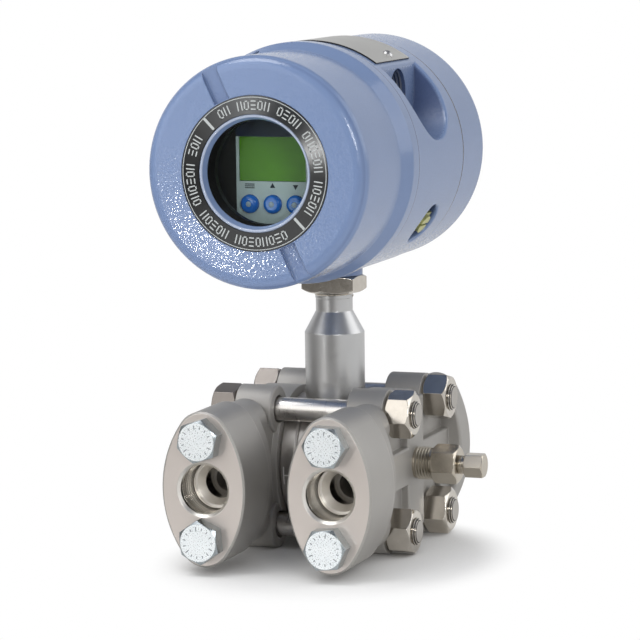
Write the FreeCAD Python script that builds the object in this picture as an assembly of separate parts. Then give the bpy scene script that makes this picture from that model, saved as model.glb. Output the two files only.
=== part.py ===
import FreeCAD, Part
import math
import os

# A differential pressure switch for process lines: a welded pressure capsule clamped between two
# cast flanges, process adapters on the front, and a painted barrel housing on a neck above it.
# While modelled, X runs along the capsule, the display looks along -Y, and Z is 0 at the ports.

# Pressure capsule and its diaphragms
CAPSULE_WIDTH = 31.0
CAPSULE_RADIUS = 28.0
CAPSULE_CHAMFER = 0.8
WELD_GROOVE_WIDTH = 1.6
WELD_GROOVE_DEPTH = 0.5
WELD_GROOVE_AT = 8.5
DIAPHRAGM_RADIUS = 19.0
DIAPHRAGM_THICK = 0.3
DIAPHRAGM_WAVES = 4
DIAPHRAGM_WAVE_HEIGHT = 0.35
DIAPHRAGM_RECESS = 1.4
DIAPHRAGM_RIM = 2.5
DIAPHRAGM_CLEARANCE = 0.1

# Cast flanges
FLANGE_THICK = 17.0
PLATEAU_HEIGHT = 3.5
HUB_MARGIN = 3.0
FLANGE_REACH = 56.0
END_PLATE_THICK = 12.0
END_PLATE_WIDTH = 30.0
END_PLATE_HEIGHT = 60.0
END_PLATE_END_RADIUS = 10.5
WEB_INSET = 2.5
WEB_HEIGHT = 40.0
BOLT_BOSS_RADIUS = 9.5
BOLT_BOSS_LENGTH = 21.0
CAST_EDGE = 1.5
BOSS_EDGE = 1.0
WEB_EDGE = 2.0
PLATEAU_BAR_ALONG = 16.0
PLATEAU_BAR_UPRIGHT = 20.0
CHAMBER_DEPTH = 3.0
CHAMBER_MARGIN = 0.5
PORT_BORE_RADIUS = 5.5
CROSS_BORE_RADIUS = 3.5
CROSS_BORE_OFFSET = 12.0
GASKET_WIDTH = 2.4
GASKET_DEPTH = 1.6
GASKET_LAND = 1.8
GASKET_CLEARANCE = 0.1

# Studs and nuts that clamp the flanges
STUD_GAP = 1.7
STUD_RADIUS = 5.55
STUD_SHANK_RADIUS = 4.95
STUD_HOLE_CLEARANCE = 0.35
STUD_END = 1.5
STUD_CHAMFER = 1.0
STUD_BOSS_RADIUS = 10.0
STUD_BOSS_INSET = 1.0
STUD_THREAD_SPARE = 4.0
SPOT_FACE_MARGIN = 2.1
NUT_FLATS = 17.5
NUT_THICK = 11.2
NUT_CHAMFER = 1.2
NUT_WASHER = 0.6
NUT_WASHER_RADIUS = 7.9
NUT_TURNS = (-16.0, 15.0, 15.0, -16.0)

# Oval process adapters
PORT_SPACING = 54.0
ADAPTER_BOLT_SPACING = 41.3
ADAPTER_DEPTH = 28.4
ADAPTER_WIDTH = 36.0
ADAPTER_HEIGHT = 64.0
ADAPTER_END_RADIUS = 11.35
ADAPTER_EDGE = 0.8
PORT_RADIUS = 10.2
PORT_LENGTH = 17.0
PORT_CHAMFER = 1.2
THROAT_RADIUS = 6.6
THROAT_STEP = 0.9
ADAPTER_BOLT_RADIUS = 5.5
ADAPTER_BOLT_CLEARANCE = 0.4
ADAPTER_BOLT_FLATS = 15.9
ADAPTER_BOLT_HEAD = 6.7
ADAPTER_BOLT_CROWN = 1.1
ADAPTER_BOLT_GRIP = 16.0
ADAPTER_BOLT_SPARE = 1.0
BOLT_TURNS_LEFT = (35.0, 18.0)
BOLT_TURNS_RIGHT = (6.0, -2.0)
BRACKET_HOLE_RADIUS = 4.6
BRACKET_HOLE_DEPTH = 18.0
ADAPTER_SEAL_WIDTH = 2.6
ADAPTER_SEAL_DEPTH = 1.8
ADAPTER_SEAL_LAND = 2.4

# Vent valve in the right flange, plug in the left one
VENT_THREAD_RADIUS = 6.5
VENT_INSET = 14.5
VENT_SHOW = 8.0
VENT_HEX_FLATS = 14.5
VENT_HEX_LENGTH = 11.0
VENT_HEX_TURN = 17.0
VENT_HEX_CHAMFER = 1.0
VENT_BORE_RADIUS = 3.3
VENT_SEAT_RADIUS = 1.5
VENT_SEAT_DEPTH = 21.0
VENT_BALL_RADIUS = 2.4
VENT_BALL_GAP = 0.05
STEM_CLEARANCE = 0.06
STEM_TIP_GAP = 0.1
STEM_HEX_FLATS = 9.5
STEM_HEX_LENGTH = 8.2
STEM_HEX_TURN = 2.0
STEM_HEX_CHAMFER = 0.5
STEM_COLLAR_RADIUS = 3.9
STEM_COLLAR_LENGTH = 2.4
STEM_COLLAR_GAP = 0.4
PLUG_SOCKET_FLATS = 6.0
PLUG_SOCKET_DEPTH = 6.0
PLUG_PROUD = 0.6

# Neck and its lock nut
NECK_RADIUS = 12.65
NECK_SHOULDER = 54.7
NECK_CONE = 9.0
NECK_COLLAR = 5.5
NECK_COLLAR_RADIUS = 7.8
NECK_THREAD_SHOW = 2.6
NECK_THREAD_RADIUS = 8.0
NECK_THREAD_CLEARANCE = 0.08
NECK_BORE_RADIUS = 4.0
NECK_BORE_BOTTOM = 6.0
LOCK_NUT_WALL = 4.0
LOCK_NUT_THICK = 7.2
LOCK_NUT_TURN = -5.0
LOCK_GAP = 0.1
NECK_SEAL_WIDTH = 2.0
NECK_SEAL_DEPTH = 1.8

# Barrel housing
BARREL_RADIUS = 48.9
BODY_FRONT = 32.7
BODY_REAR = 28.5
HOUSING_BOSS_WALL = 4.2
HOUSING_BOSS_STAND = 1.2
SPIGOT_STEP = 4.9
SPIGOT_LENGTH = 13.0
SPIGOT_WALL = 4.0
BULKHEAD_AT = 20.0
BULKHEAD_THICK = 5.0
FEEDTHROUGH_RADIUS = 7.0
POCKET_RADIUS = 21.5
POCKET_AT = -2.8
POCKET_RISE = 29.1
POCKET_DEPTH = 18.6
POCKET_WALL = 4.0
CONDUIT_RADIUS = 10.0
CONDUIT_RISE = 26.8
CONDUIT_LENGTH = 11.0
EARTH_ANGLE = -36.0
EARTH_AT = 2.5
EARTH_RADIUS = 9.4
EARTH_DEPTH = 7.2
EARTH_WALL = 3.5
POCKET_EDGE = 1.0
SEAM_EDGE = 0.3
SEAM_GAP = 0.35
SEAM_DEPTH = 1.3

# Screw-on covers
THREAD_CLEARANCE = 0.25
COVER_SPARE = 1.0
COVER_WALL = 4.6
FRONT_FACE = 91.0
FRONT_STEP = 2.3
FRONT_EDGE = 5.0
BAND_PROUD = 0.7
BAND_START = 48.3
BAND_END = 40.7
BAND_ROUND = 2.5
REAR_END = 61.0
REAR_STEP = 0.3
REAR_EDGE = 5.0
REAR_WALL = 6.0
KEY_SLOT_WIDTH = 7.0
KEY_SLOT_DEPTH = 2.0
KEY_SLOT_ANGLE = 115.0
KEY_SLOT_START = 31.2
COVER_SEAL_SECTION = 0.9
COVER_SEAL_CLEARANCE = 0.2
LOCK_SCREW_RADIUS = 1.6
LOCK_SCREW_LENGTH = 3.4
LOCK_SCREW_SINK = 0.6
LOCK_SCREW_ANGLE = 110.0
LOCK_SCREW_SOCKET = 1.5
LOCK_SCREW_SOCKET_RADIUS = 0.8

# Window in the front cover
WINDOW_MOUTH_RADIUS = 22.4
WINDOW_LIP = 1.1
WINDOW_LIP_ROUNDING = 0.45
WINDOW_RADIUS = 21.2
WINDOW_BEVEL = 3.2
GLASS_RADIUS = 25.4
GLASS_THICK = 8.0
GLASS_CLEARANCE = 0.15
RETAINER_THICK = 3.2
RETAINER_WIDTH = 4.2
WINDOW_BOSS_WALL = 5.5
LEGEND_OUTER_RADIUS = 30.9
LEGEND_THICK = 1.0
LEGEND_PROUD = 0.25
LEGEND_CLEARANCE = 0.1

# Electronics and display in the front compartment
MODULE_CLEARANCE = 4.0
MODULE_FOOT_RADIUS = 16.0
MODULE_START = 33.5
MODULE_FRONT = 62.6
BEZEL_FRONT = 70.1
BEZEL_CLEARANCE = 3.0
FACEPLATE_FRONT = 70.9
FACEPLATE_THICK = 1.5
FACEPLATE_WIDTH = 31.0
FACEPLATE_HEIGHT = 46.0
FACEPLATE_CORNER = 2.0
FACEPLATE_CLEARANCE = 0.15
LCD_WIDTH = 28.6
LCD_HEIGHT = 18.0
LCD_CENTRE = 4.15
LCD_SINK = 0.5
LCD_LIP = 0.9
BOARD_THICK = 1.6
BUTTON_RADIUS = 3.8
BUTTON_SPACING = 9.8
BUTTON_DROP = 13.95
BUTTON_STAND = 1.9
BUTTON_ROUND = 1.5
BUTTON_TRAVEL = 0.6
BUTTON_CLEARANCE = 0.08
BUTTON_FLANGE = 0.6
BUTTON_FLANGE_THICK = 0.8
BUTTON_STEM_RADIUS = 1.6
BUTTON_REST_GAP = 0.05

# Terminals in the rear compartment
TERMINAL_WIDTH = 40.0
TERMINAL_HEIGHT = 18.0
TERMINAL_DEPTH = 20.0
TERMINAL_DROP = 11.0
TERMINAL_COUNT = 5
TERMINAL_PITCH = 7.6
TERMINAL_SCREW_RADIUS = 2.6
TERMINAL_SCREW_HEAD = 2.0
TERMINAL_SCREW_SINK = 1.0
TERMINAL_SCREW_RISE = 3.6
TERMINAL_SLOT_WIDTH = 0.8
TERMINAL_SLOT_DEPTH = 0.8
TERMINAL_WIRE_RADIUS = 2.0
TERMINAL_WIRE_DEPTH = 9.0
TERMINAL_WIRE_DROP = 4.5

# Nameplate on top, earth terminal at the side
NAMEPLATE_THICK = 0.6
NAMEPLATE_ANGLE = 54.5
NAMEPLATE_FRONT = -25.2
NAMEPLATE_REAR = 17.2
NAMEPLATE_SCREW_ANGLE = 59.3
NAMEPLATE_SCREW_AT = -0.4
NAMEPLATE_SCREW_RADIUS = 2.3
NAMEPLATE_SCREW_RISE = 1.5
NAMEPLATE_SCREW_SHANK = 1.2
NAMEPLATE_SCREW_DEPTH = 5.0
EARTH_SCREW_RADIUS = 2.4
EARTH_SCREW_DEPTH = 3.0
EARTH_HEAD_RADIUS = 4.2
EARTH_HEAD_THICK = 1.8
EARTH_SLOT_WIDTH = 1.2
EARTH_SLOT_DEPTH = 1.2
EARTH_SCREW_CLEARANCE = 0.1
EARTH_CLAMP_LENGTH = 14.0
EARTH_CLAMP_WIDTH = 9.0
EARTH_CLAMP_SHEET = 1.2
EARTH_CLAMP_LEG = 4.0

# Share of the half width across flats at which every hexagon's chamfer starts
HEX_CROWN = 0.96

# How far a cutting shape runs past the face that it breaks
CUT_OVER = 1.0

# Places that follow from the sizes above
HUB_RADIUS = CAPSULE_RADIUS + HUB_MARGIN
STUD_CIRCLE = CAPSULE_RADIUS + STUD_GAP + STUD_SHANK_RADIUS
STUD_PITCH = STUD_CIRCLE * math.sqrt(2)
SPOT_FACE_RADIUS = NUT_FLATS / math.sqrt(3) + SPOT_FACE_MARGIN
FLANGE_INNER = CAPSULE_WIDTH / 2
FLANGE_SEAT = FLANGE_INNER + FLANGE_THICK
PLATEAU = FLANGE_SEAT + PLATEAU_HEIGHT
PORT_X = PORT_SPACING / 2
ADAPTER_FRONT = -FLANGE_REACH - ADAPTER_DEPTH
VENT_HEX_START = PLATEAU + VENT_SHOW
VENT_HEX_END = VENT_HEX_START + VENT_HEX_LENGTH
STEM_TIP = VENT_HEX_END + STEM_COLLAR_GAP + STEM_COLLAR_LENGTH + STEM_HEX_LENGTH
STUD_TIP = FLANGE_SEAT + NUT_THICK + STUD_END
NECK_CONE_TOP = NECK_SHOULDER + NECK_CONE
NECK_THREAD_START = NECK_CONE_TOP + NECK_COLLAR
LOCK_NUT_FLATS = 2 * (NECK_THREAD_RADIUS + LOCK_NUT_WALL)
LOCK_NUT_START = NECK_THREAD_START + NECK_THREAD_SHOW
HOUSING_BOSS_RADIUS = NECK_THREAD_RADIUS + HOUSING_BOSS_WALL
HOUSING_SEAT = LOCK_NUT_START + LOCK_NUT_THICK + LOCK_GAP
HOUSING_AXIS = HOUSING_SEAT + HOUSING_BOSS_STAND + BARREL_RADIUS
SPIGOT_RADIUS = BARREL_RADIUS - SPIGOT_STEP
CAVITY_RADIUS = SPIGOT_RADIUS - SPIGOT_WALL
COVER_BORE = SPIGOT_RADIUS + THREAD_CLEARANCE
FRONT_RADIUS = BARREL_RADIUS - FRONT_STEP
BAND_RADIUS = BARREL_RADIUS + BAND_PROUD
REAR_RADIUS = BARREL_RADIUS - REAR_STEP
COVER_INSIDE = FRONT_RADIUS - COVER_WALL
GLASS_FRONT = FRONT_FACE - WINDOW_BEVEL
GLASS_BACK = GLASS_FRONT - GLASS_THICK
RETAINER_BACK = GLASS_BACK - RETAINER_THICK
LIP_RADIUS = WINDOW_MOUTH_RADIUS + WINDOW_LIP
POCKET_FLAT = BARREL_RADIUS - POCKET_DEPTH
SEAL_RADIUS = SPIGOT_RADIUS + COVER_SEAL_CLEARANCE + COVER_SEAL_SECTION
FOOT = STUD_PITCH / 2 + STUD_BOSS_RADIUS
FRAME_SHIFT = FreeCAD.Vector(
    (max(STUD_TIP, BAND_RADIUS) - max(STEM_TIP, BAND_RADIUS)) / 2,
    (max(FRONT_FACE + LEGEND_PROUD, ADAPTER_BOLT_HEAD - ADAPTER_FRONT) - REAR_END) / 2,
    FOOT,
)

ORIGIN = FreeCAD.Vector(0, 0, 0)
X_AXIS = FreeCAD.Vector(1, 0, 0)
Y_AXIS = FreeCAD.Vector(0, 1, 0)
Z_AXIS = FreeCAD.Vector(0, 0, 1)
STUDS = [(y * STUD_PITCH / 2, z * STUD_PITCH / 2) for y in (-1, 1) for z in (-1, 1)]
ADAPTER_BOLTS_Z = (-ADAPTER_BOLT_SPACING / 2, ADAPTER_BOLT_SPACING / 2)


def vec(x, y, z):
    return FreeCAD.Vector(x, y, z)


def rod_x(radius, x0, x1, y=0, z=0):
    return Part.makeCylinder(radius, x1 - x0, vec(x0, y, z), X_AXIS)


def rod_y(radius, y0, y1, x=0, z=0):
    return Part.makeCylinder(radius, y1 - y0, vec(x, y0, z), Y_AXIS)


def rod_z(radius, z0, z1, x=0, y=0):
    return Part.makeCylinder(radius, z1 - z0, vec(x, y, z0), Z_AXIS)


def block(x0, x1, y0, y1, z0, z1):
    return Part.makeBox(x1 - x0, y1 - y0, z1 - z0, vec(x0, y0, z0))


def fused(shapes):
    return shapes[0].multiFuse(shapes[1:]).removeSplitter()


def drilled(shape, tools):
    return shape.cut(tools[0] if len(tools) == 1 else tools[0].multiFuse(tools[1:]))


def mirrored(shape):
    return shape.mirror(ORIGIN, X_AXIS)


def turned_x(profile):
    """A solid of revolution about X from (x, radius) points."""
    face = Part.Face(Part.makePolygon([vec(x, 0, r) for x, r in profile + profile[:1]]))
    return face.revolve(ORIGIN, X_AXIS, 360)


def turned_barrel(profile):
    """A solid of revolution about the housing's axis from (y, radius) points."""
    points = [vec(0, y, HOUSING_AXIS + r) for y, r in profile + profile[:1]]
    return Part.Face(Part.makePolygon(points)).revolve(vec(0, 0, HOUSING_AXIS), Y_AXIS, 360)


def barrel_rod(radius, y0, y1):
    return rod_y(radius, y0, y1, 0, HOUSING_AXIS)


def barrel_ring(outer, inner, y0, y1):
    return barrel_rod(outer, y0, y1).cut(barrel_rod(inner, y0, y1))


def round_rim(shape, radius, y, size):
    """Rounds the circular edge of the given radius that lies across the housing's axis at y."""
    rims = [
        edge for edge in shape.Edges
        if isinstance(edge.Curve, Part.Circle)
        and abs(edge.Curve.Radius - radius) < 1e-6
        and abs(edge.Curve.Center.y - y) < 1e-6
    ]
    return shape.makeFillet(size, rims)


def softened(shape, size, keep):
    """Rounds the edges of a plain shape that keep picks out."""
    return shape.makeFillet(size, [edge for edge in shape.Edges if keep(edge)])


def across(axis, at):
    """Picks out the edges that lie flat in the plane across one axis at a place along it."""
    low, high = axis + "Min", axis + "Max"

    def lies_there(edge):
        box = edge.BoundBox
        return abs(getattr(box, low) - at) < 1e-6 and abs(getattr(box, high) - at) < 1e-6

    return lies_there


def hexagon(flats, x0, x1, y=0, z=0, turn=0.0, chamfer=0.0):
    """A hexagonal prism along X, its corners taken off by a cone at each end if chamfered."""
    corner = flats / 2 / math.cos(math.pi / 6)
    angles = [math.radians(turn + 60 * k) for k in range(7)]
    points = [vec(x0, y + corner * math.cos(a), z + corner * math.sin(a)) for a in angles]
    prism = Part.Face(Part.makePolygon(points)).extrude(vec(x1 - x0, 0, 0))
    if not chamfer:
        return prism
    tip = HEX_CROWN * flats / 2
    blank = turned_x([
        (x0, 0), (x0, tip), (x0 + chamfer, corner), (x1 - chamfer, corner), (x1, tip), (x1, 0),
    ])
    return prism.common(blank.translated(vec(0, y, z)))


def oval_wire(width, height, end_radius, x, y):
    """An oval across Y: end arcs round the two bolts, joined by tangent side arcs."""
    rise = height / 2 - end_radius
    bulge = width / 2 - end_radius
    back = (rise ** 2 - bulge ** 2) / (2 * bulge)
    side = width / 2 + back
    lean = math.atan2(rise, back)
    touch_x = side * math.cos(lean) - back
    touch_z = side * math.sin(lean)
    corners = [(touch_x, -touch_z), (touch_x, touch_z), (-touch_x, touch_z), (-touch_x, -touch_z)]
    crowns = [(width / 2, 0), (0, height / 2), (-width / 2, 0), (0, -height / 2)]
    edges = []
    for k, crown in enumerate(crowns):
        run = [corners[k], crown, corners[(k + 1) % 4]]
        edges.append(Part.Arc(*[vec(x + px, y, pz) for px, pz in run]).toShape())
    return Part.Wire(edges)


def oval_plate(width, height, end_radius, x, y0, y1):
    face = Part.Face(oval_wire(width, height, end_radius, x, y0))
    return face.extrude(vec(0, y1 - y0, 0))


def rounded_panel(width, height, corner, y0, y1, centre):
    """A flat rectangular panel across Y on the housing's axis, its four corners rounded."""
    z = HOUSING_AXIS + centre
    panel = block(-width / 2, width / 2, y0, y1, z - height / 2, z + height / 2)
    uprights = [e for e in panel.Edges if abs(e.tangentAt(e.FirstParameter).y) > 0.99]
    return panel.makeFillet(corner, uprights)


def sensor_capsule():
    """The welded body: two halves and a middle ring, with a shallow diaphragm seat at each end."""
    half = CAPSULE_WIDTH / 2
    seat = half - DIAPHRAGM_RECESS
    rim = CAPSULE_RADIUS - CAPSULE_CHAMFER
    side = [(half - CAPSULE_CHAMFER, CAPSULE_RADIUS)]
    side.append((WELD_GROOVE_AT + WELD_GROOVE_WIDTH / 2, CAPSULE_RADIUS))
    side.append((WELD_GROOVE_AT, CAPSULE_RADIUS - WELD_GROOVE_DEPTH))
    side.append((WELD_GROOVE_AT - WELD_GROOVE_WIDTH / 2, CAPSULE_RADIUS))
    end = [(seat, 0), (seat, DIAPHRAGM_RADIUS), (half, DIAPHRAGM_RADIUS), (half, rim)]
    right = end + side
    left = [(-x, r) for x, r in reversed(right)]
    body = turned_x(right + left)
    return body.cut(rod_z(NECK_BORE_RADIUS, NECK_BORE_BOTTOM, CAPSULE_RADIUS + CUT_OVER))


def isolating_diaphragm():
    """A thin corrugated disc welded at its rim, one wave after another from rim to centre."""
    seat = CAPSULE_WIDTH / 2 - DIAPHRAGM_RECESS
    span = DIAPHRAGM_RADIUS - DIAPHRAGM_RIM
    steps = 2 * DIAPHRAGM_WAVES
    under = [(seat, DIAPHRAGM_RADIUS - DIAPHRAGM_CLEARANCE)]
    for k in range(steps + 1):
        rise = DIAPHRAGM_WAVE_HEIGHT if k % 2 else 0.0
        under.append((seat + rise, span * (1 - k / steps)))
    over = [(x + DIAPHRAGM_THICK, r) for x, r in reversed(under)]
    return turned_x(under + over)


def flange_gasket(clearance=0.0):
    outer = CAPSULE_RADIUS - GASKET_LAND + clearance
    inner = CAPSULE_RADIUS - GASKET_LAND - GASKET_WIDTH - clearance
    x1 = FLANGE_INNER + GASKET_DEPTH + clearance
    return rod_x(outer, FLANGE_INNER, x1).cut(rod_x(inner, FLANGE_INNER, x1))


def flange_blank():
    """The casting: a hub, four stud bosses, a web, and oval end plates with bolt bosses behind."""
    hub = softened(
        rod_x(HUB_RADIUS, FLANGE_INNER, FLANGE_SEAT), CAST_EDGE, across("X", FLANGE_SEAT))
    boss_start = FLANGE_INNER + STUD_BOSS_INSET
    bosses = [
        softened(rod_x(STUD_BOSS_RADIUS, boss_start, FLANGE_SEAT, y, z), BOSS_EDGE, across("X", boss_start))
        for y, z in STUDS
    ]
    reach = FLANGE_REACH - END_PLATE_THICK / 2
    half_web = WEB_HEIGHT / 2
    web = block(FLANGE_INNER + WEB_INSET, FLANGE_SEAT, -reach, reach, -half_web, half_web)
    web = softened(web, WEB_EDGE, lambda edge: abs(edge.tangentAt(edge.FirstParameter).y) > 0.99)
    along = PLATEAU_BAR_ALONG / 2
    upright = PLATEAU_BAR_UPRIGHT / 2
    foot = FLANGE_SEAT - WEB_EDGE
    bar = softened(block(foot, PLATEAU, -reach, reach, -along, along), BOSS_EDGE, across("X", PLATEAU))
    tall = math.sqrt((HUB_RADIUS - CAST_EDGE) ** 2 - upright ** 2)
    post = softened(block(foot, PLATEAU, -upright, upright, -tall, tall), BOSS_EDGE, across("X", PLATEAU))
    plate_start = FLANGE_REACH - END_PLATE_THICK
    deep = FLANGE_REACH - BOLT_BOSS_LENGTH
    oval = (END_PLATE_WIDTH, END_PLATE_HEIGHT, END_PLATE_END_RADIUS, PORT_X)
    ends = []
    for side in (-1, 1):
        plate = oval_plate(*oval, *sorted((side * plate_start, side * FLANGE_REACH)))
        ends.append(softened(plate, CAST_EDGE, across("Y", side * plate_start)))
        for z in ADAPTER_BOLTS_Z:
            boss = rod_y(BOLT_BOSS_RADIUS, *sorted((side * deep, side * FLANGE_REACH)), PORT_X, z)
            ends.append(softened(boss, BOSS_EDGE, across("Y", side * deep)))
    return fused([hub, web, bar, post] + bosses + ends)


def flange():
    """The right flange, machined: spot faces, bolt holes, chamber, process and vent passages."""
    tools = [rod_x(SPOT_FACE_RADIUS, FLANGE_SEAT, PLATEAU + ADAPTER_WIDTH, y, z) for y, z in STUDS]
    hole = STUD_RADIUS + STUD_HOLE_CLEARANCE
    tools += [rod_x(hole, FLANGE_INNER, PLATEAU, y, z) for y, z in STUDS]
    chamber_end = FLANGE_INNER + CHAMBER_DEPTH
    tools.append(rod_x(DIAPHRAGM_RADIUS + CHAMBER_MARGIN, FLANGE_INNER, chamber_end))
    tools.append(rod_x(VENT_THREAD_RADIUS, chamber_end, PLATEAU))
    tools.append(rod_x(CROSS_BORE_RADIUS, chamber_end, PORT_X, -CROSS_BORE_OFFSET))
    tools.append(rod_y(PORT_BORE_RADIUS, -FLANGE_REACH, -CROSS_BORE_OFFSET, PORT_X))
    for z in ADAPTER_BOLTS_Z:
        grip = ADAPTER_BOLT_GRIP + ADAPTER_BOLT_SPARE
        tools.append(rod_y(ADAPTER_BOLT_RADIUS, -FLANGE_REACH, -FLANGE_REACH + grip, PORT_X, z))
        deep = FLANGE_REACH - BRACKET_HOLE_DEPTH
        tools.append(rod_y(BRACKET_HOLE_RADIUS, deep, FLANGE_REACH, PORT_X, z))
    tools.append(flange_gasket(GASKET_CLEARANCE))
    return drilled(flange_blank(), tools)


def flange_studs():
    """Studs with a reduced shank between two threaded ends, chamfered at their tips."""
    thread_start = FLANGE_SEAT - STUD_THREAD_SPARE
    taper = STUD_RADIUS - STUD_SHANK_RADIUS
    right = [
        (thread_start - taper, STUD_SHANK_RADIUS), (thread_start, STUD_RADIUS),
        (STUD_TIP - STUD_CHAMFER, STUD_RADIUS), (STUD_TIP, STUD_RADIUS - STUD_CHAMFER), (STUD_TIP, 0),
    ]
    left = [(-x, r) for x, r in reversed(right)]
    stud = turned_x(left + right)
    return [stud.translated(vec(0, y, z)) for y, z in STUDS]


def flange_nuts():
    """Washer faced nuts on the right ends of the studs, each left at its own angle by the wrench."""
    nuts = []
    end = FLANGE_SEAT + NUT_THICK
    for (y, z), turn in zip(STUDS, NUT_TURNS):
        grip = hexagon(NUT_FLATS, FLANGE_SEAT + NUT_WASHER, end, y, z, turn, NUT_CHAMFER)
        washer = rod_x(NUT_WASHER_RADIUS, FLANGE_SEAT, FLANGE_SEAT + NUT_WASHER, y, z)
        nuts.append(fused([grip, washer]).cut(rod_x(STUD_RADIUS, FLANGE_SEAT, end, y, z)))
    return nuts


def adapter():
    """The right adapter: an oval block with a tapped port, a smaller throat and two bolt holes."""
    body = oval_plate(
        ADAPTER_WIDTH, ADAPTER_HEIGHT, ADAPTER_END_RADIUS, PORT_X, ADAPTER_FRONT, -FLANGE_REACH)
    rim = [e for e in body.Edges if e.BoundBox.YMax - ADAPTER_FRONT < 1e-6]
    body = body.makeChamfer(ADAPTER_EDGE, rim)
    port_end = ADAPTER_FRONT + PORT_LENGTH
    tools = [rod_y(PORT_RADIUS, ADAPTER_FRONT, port_end, PORT_X)]
    mouth = PORT_RADIUS + PORT_CHAMFER
    tools.append(Part.makeCone(
        mouth, PORT_RADIUS, PORT_CHAMFER, vec(PORT_X, ADAPTER_FRONT, 0), Y_AXIS))
    shoulder = PORT_RADIUS - THROAT_STEP
    tools.append(Part.makeCone(
        shoulder, THROAT_RADIUS, shoulder - THROAT_RADIUS, vec(PORT_X, port_end, 0), Y_AXIS))
    tools.append(rod_y(THROAT_RADIUS, port_end, -FLANGE_REACH, PORT_X))
    hole = ADAPTER_BOLT_RADIUS + ADAPTER_BOLT_CLEARANCE
    tools += [rod_y(hole, ADAPTER_FRONT, -FLANGE_REACH, PORT_X, z) for z in ADAPTER_BOLTS_Z]
    tools.append(adapter_seal(GASKET_CLEARANCE))
    return drilled(body, tools)


def adapter_seal(clearance=0.0):
    inner = THROAT_RADIUS + ADAPTER_SEAL_LAND - clearance
    outer = THROAT_RADIUS + ADAPTER_SEAL_LAND + ADAPTER_SEAL_WIDTH + clearance
    y0 = -FLANGE_REACH - ADAPTER_SEAL_DEPTH - clearance
    return rod_y(outer, y0, -FLANGE_REACH, PORT_X).cut(rod_y(inner, y0, -FLANGE_REACH, PORT_X))


def adapter_bolts(x, turns):
    """Two hexagon head bolts through the adapter at x into its flange, crowned on the outside."""
    bolts = []
    corner = ADAPTER_BOLT_FLATS / math.sqrt(3)
    rim = ADAPTER_BOLT_HEAD - ADAPTER_BOLT_CROWN
    crown = turned_x([
        (0, 0), (0, corner), (rim, corner), (ADAPTER_BOLT_HEAD, HEX_CROWN * ADAPTER_BOLT_FLATS / 2),
        (ADAPTER_BOLT_HEAD, 0),
    ])
    shank = rod_x(ADAPTER_BOLT_RADIUS, -ADAPTER_DEPTH - ADAPTER_BOLT_GRIP, 0)
    for z, turn in zip(ADAPTER_BOLTS_Z, turns):
        head = hexagon(ADAPTER_BOLT_FLATS, 0, ADAPTER_BOLT_HEAD, turn=turn).common(crown)
        bolt = fused([head, shank])
        bolt.rotate(ORIGIN, Z_AXIS, -90)
        bolts.append(bolt.translated(vec(x, ADAPTER_FRONT, z)))
    return bolts


def vent_body():
    """A threaded hexagon body with a ball seat at the bottom of its bore."""
    start = PLATEAU - VENT_INSET
    shank = rod_x(VENT_THREAD_RADIUS, start, VENT_HEX_START)
    grip = hexagon(
        VENT_HEX_FLATS, VENT_HEX_START, VENT_HEX_END, turn=VENT_HEX_TURN, chamfer=VENT_HEX_CHAMFER)
    seat = VENT_HEX_END - VENT_SEAT_DEPTH
    cone = VENT_BORE_RADIUS - VENT_SEAT_RADIUS
    bore = turned_x([
        (start, 0), (start, VENT_SEAT_RADIUS), (seat - cone, VENT_SEAT_RADIUS),
        (seat, VENT_BORE_RADIUS), (VENT_HEX_END, VENT_BORE_RADIUS), (VENT_HEX_END, 0),
    ])
    return fused([shank, grip]).cut(bore)


def vent_ball_centre():
    """The ball rests in the seat's 45 degree cone, a hair clear of it."""
    tip = VENT_HEX_END - VENT_SEAT_DEPTH - VENT_BORE_RADIUS
    return tip + (VENT_BALL_RADIUS + VENT_BALL_GAP) * math.sqrt(2)


def vent_ball():
    return Part.makeSphere(VENT_BALL_RADIUS, vec(vent_ball_centre(), 0, 0))


def vent_stem():
    """The bleed screw: a shank that holds the ball down, a collar and a hexagon for the wrench."""
    start = vent_ball_centre() + VENT_BALL_RADIUS + STEM_TIP_GAP
    collar = VENT_HEX_END + STEM_COLLAR_GAP
    hex_start = collar + STEM_COLLAR_LENGTH
    shank = rod_x(VENT_BORE_RADIUS - STEM_CLEARANCE, start, collar)
    ring = rod_x(STEM_COLLAR_RADIUS, collar, hex_start)
    grip = hexagon(STEM_HEX_FLATS, hex_start, STEM_TIP, turn=STEM_HEX_TURN, chamfer=STEM_HEX_CHAMFER)
    return fused([shank, ring, grip])


def vent_plug():
    """A socket plug that closes the vent hole of the left flange."""
    start = PLATEAU - VENT_INSET
    end = PLATEAU + PLUG_PROUD
    body = rod_x(VENT_THREAD_RADIUS, start, end)
    return mirrored(body.cut(hexagon(PLUG_SOCKET_FLATS, end - PLUG_SOCKET_DEPTH, end)))


def neck_tube():
    """A turned tube: wide below, coned to a collar, threaded on top, welded onto the capsule."""
    thread_end = HOUSING_AXIS - CAVITY_RADIUS
    profile = [
        (0, 0), (NECK_RADIUS, 0), (NECK_RADIUS, NECK_SHOULDER), (NECK_COLLAR_RADIUS, NECK_CONE_TOP),
        (NECK_COLLAR_RADIUS, NECK_THREAD_START), (NECK_THREAD_RADIUS, NECK_THREAD_START),
        (NECK_THREAD_RADIUS, thread_end), (0, thread_end),
    ]
    points = [vec(r, 0, z) for r, z in profile + profile[:1]]
    tube = Part.Face(Part.makePolygon(points)).revolve(ORIGIN, Z_AXIS, 360)
    tube = tube.cut(rod_x(CAPSULE_RADIUS, -NECK_RADIUS, NECK_RADIUS))
    return tube.cut(rod_z(NECK_BORE_RADIUS, 0, thread_end))


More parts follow.
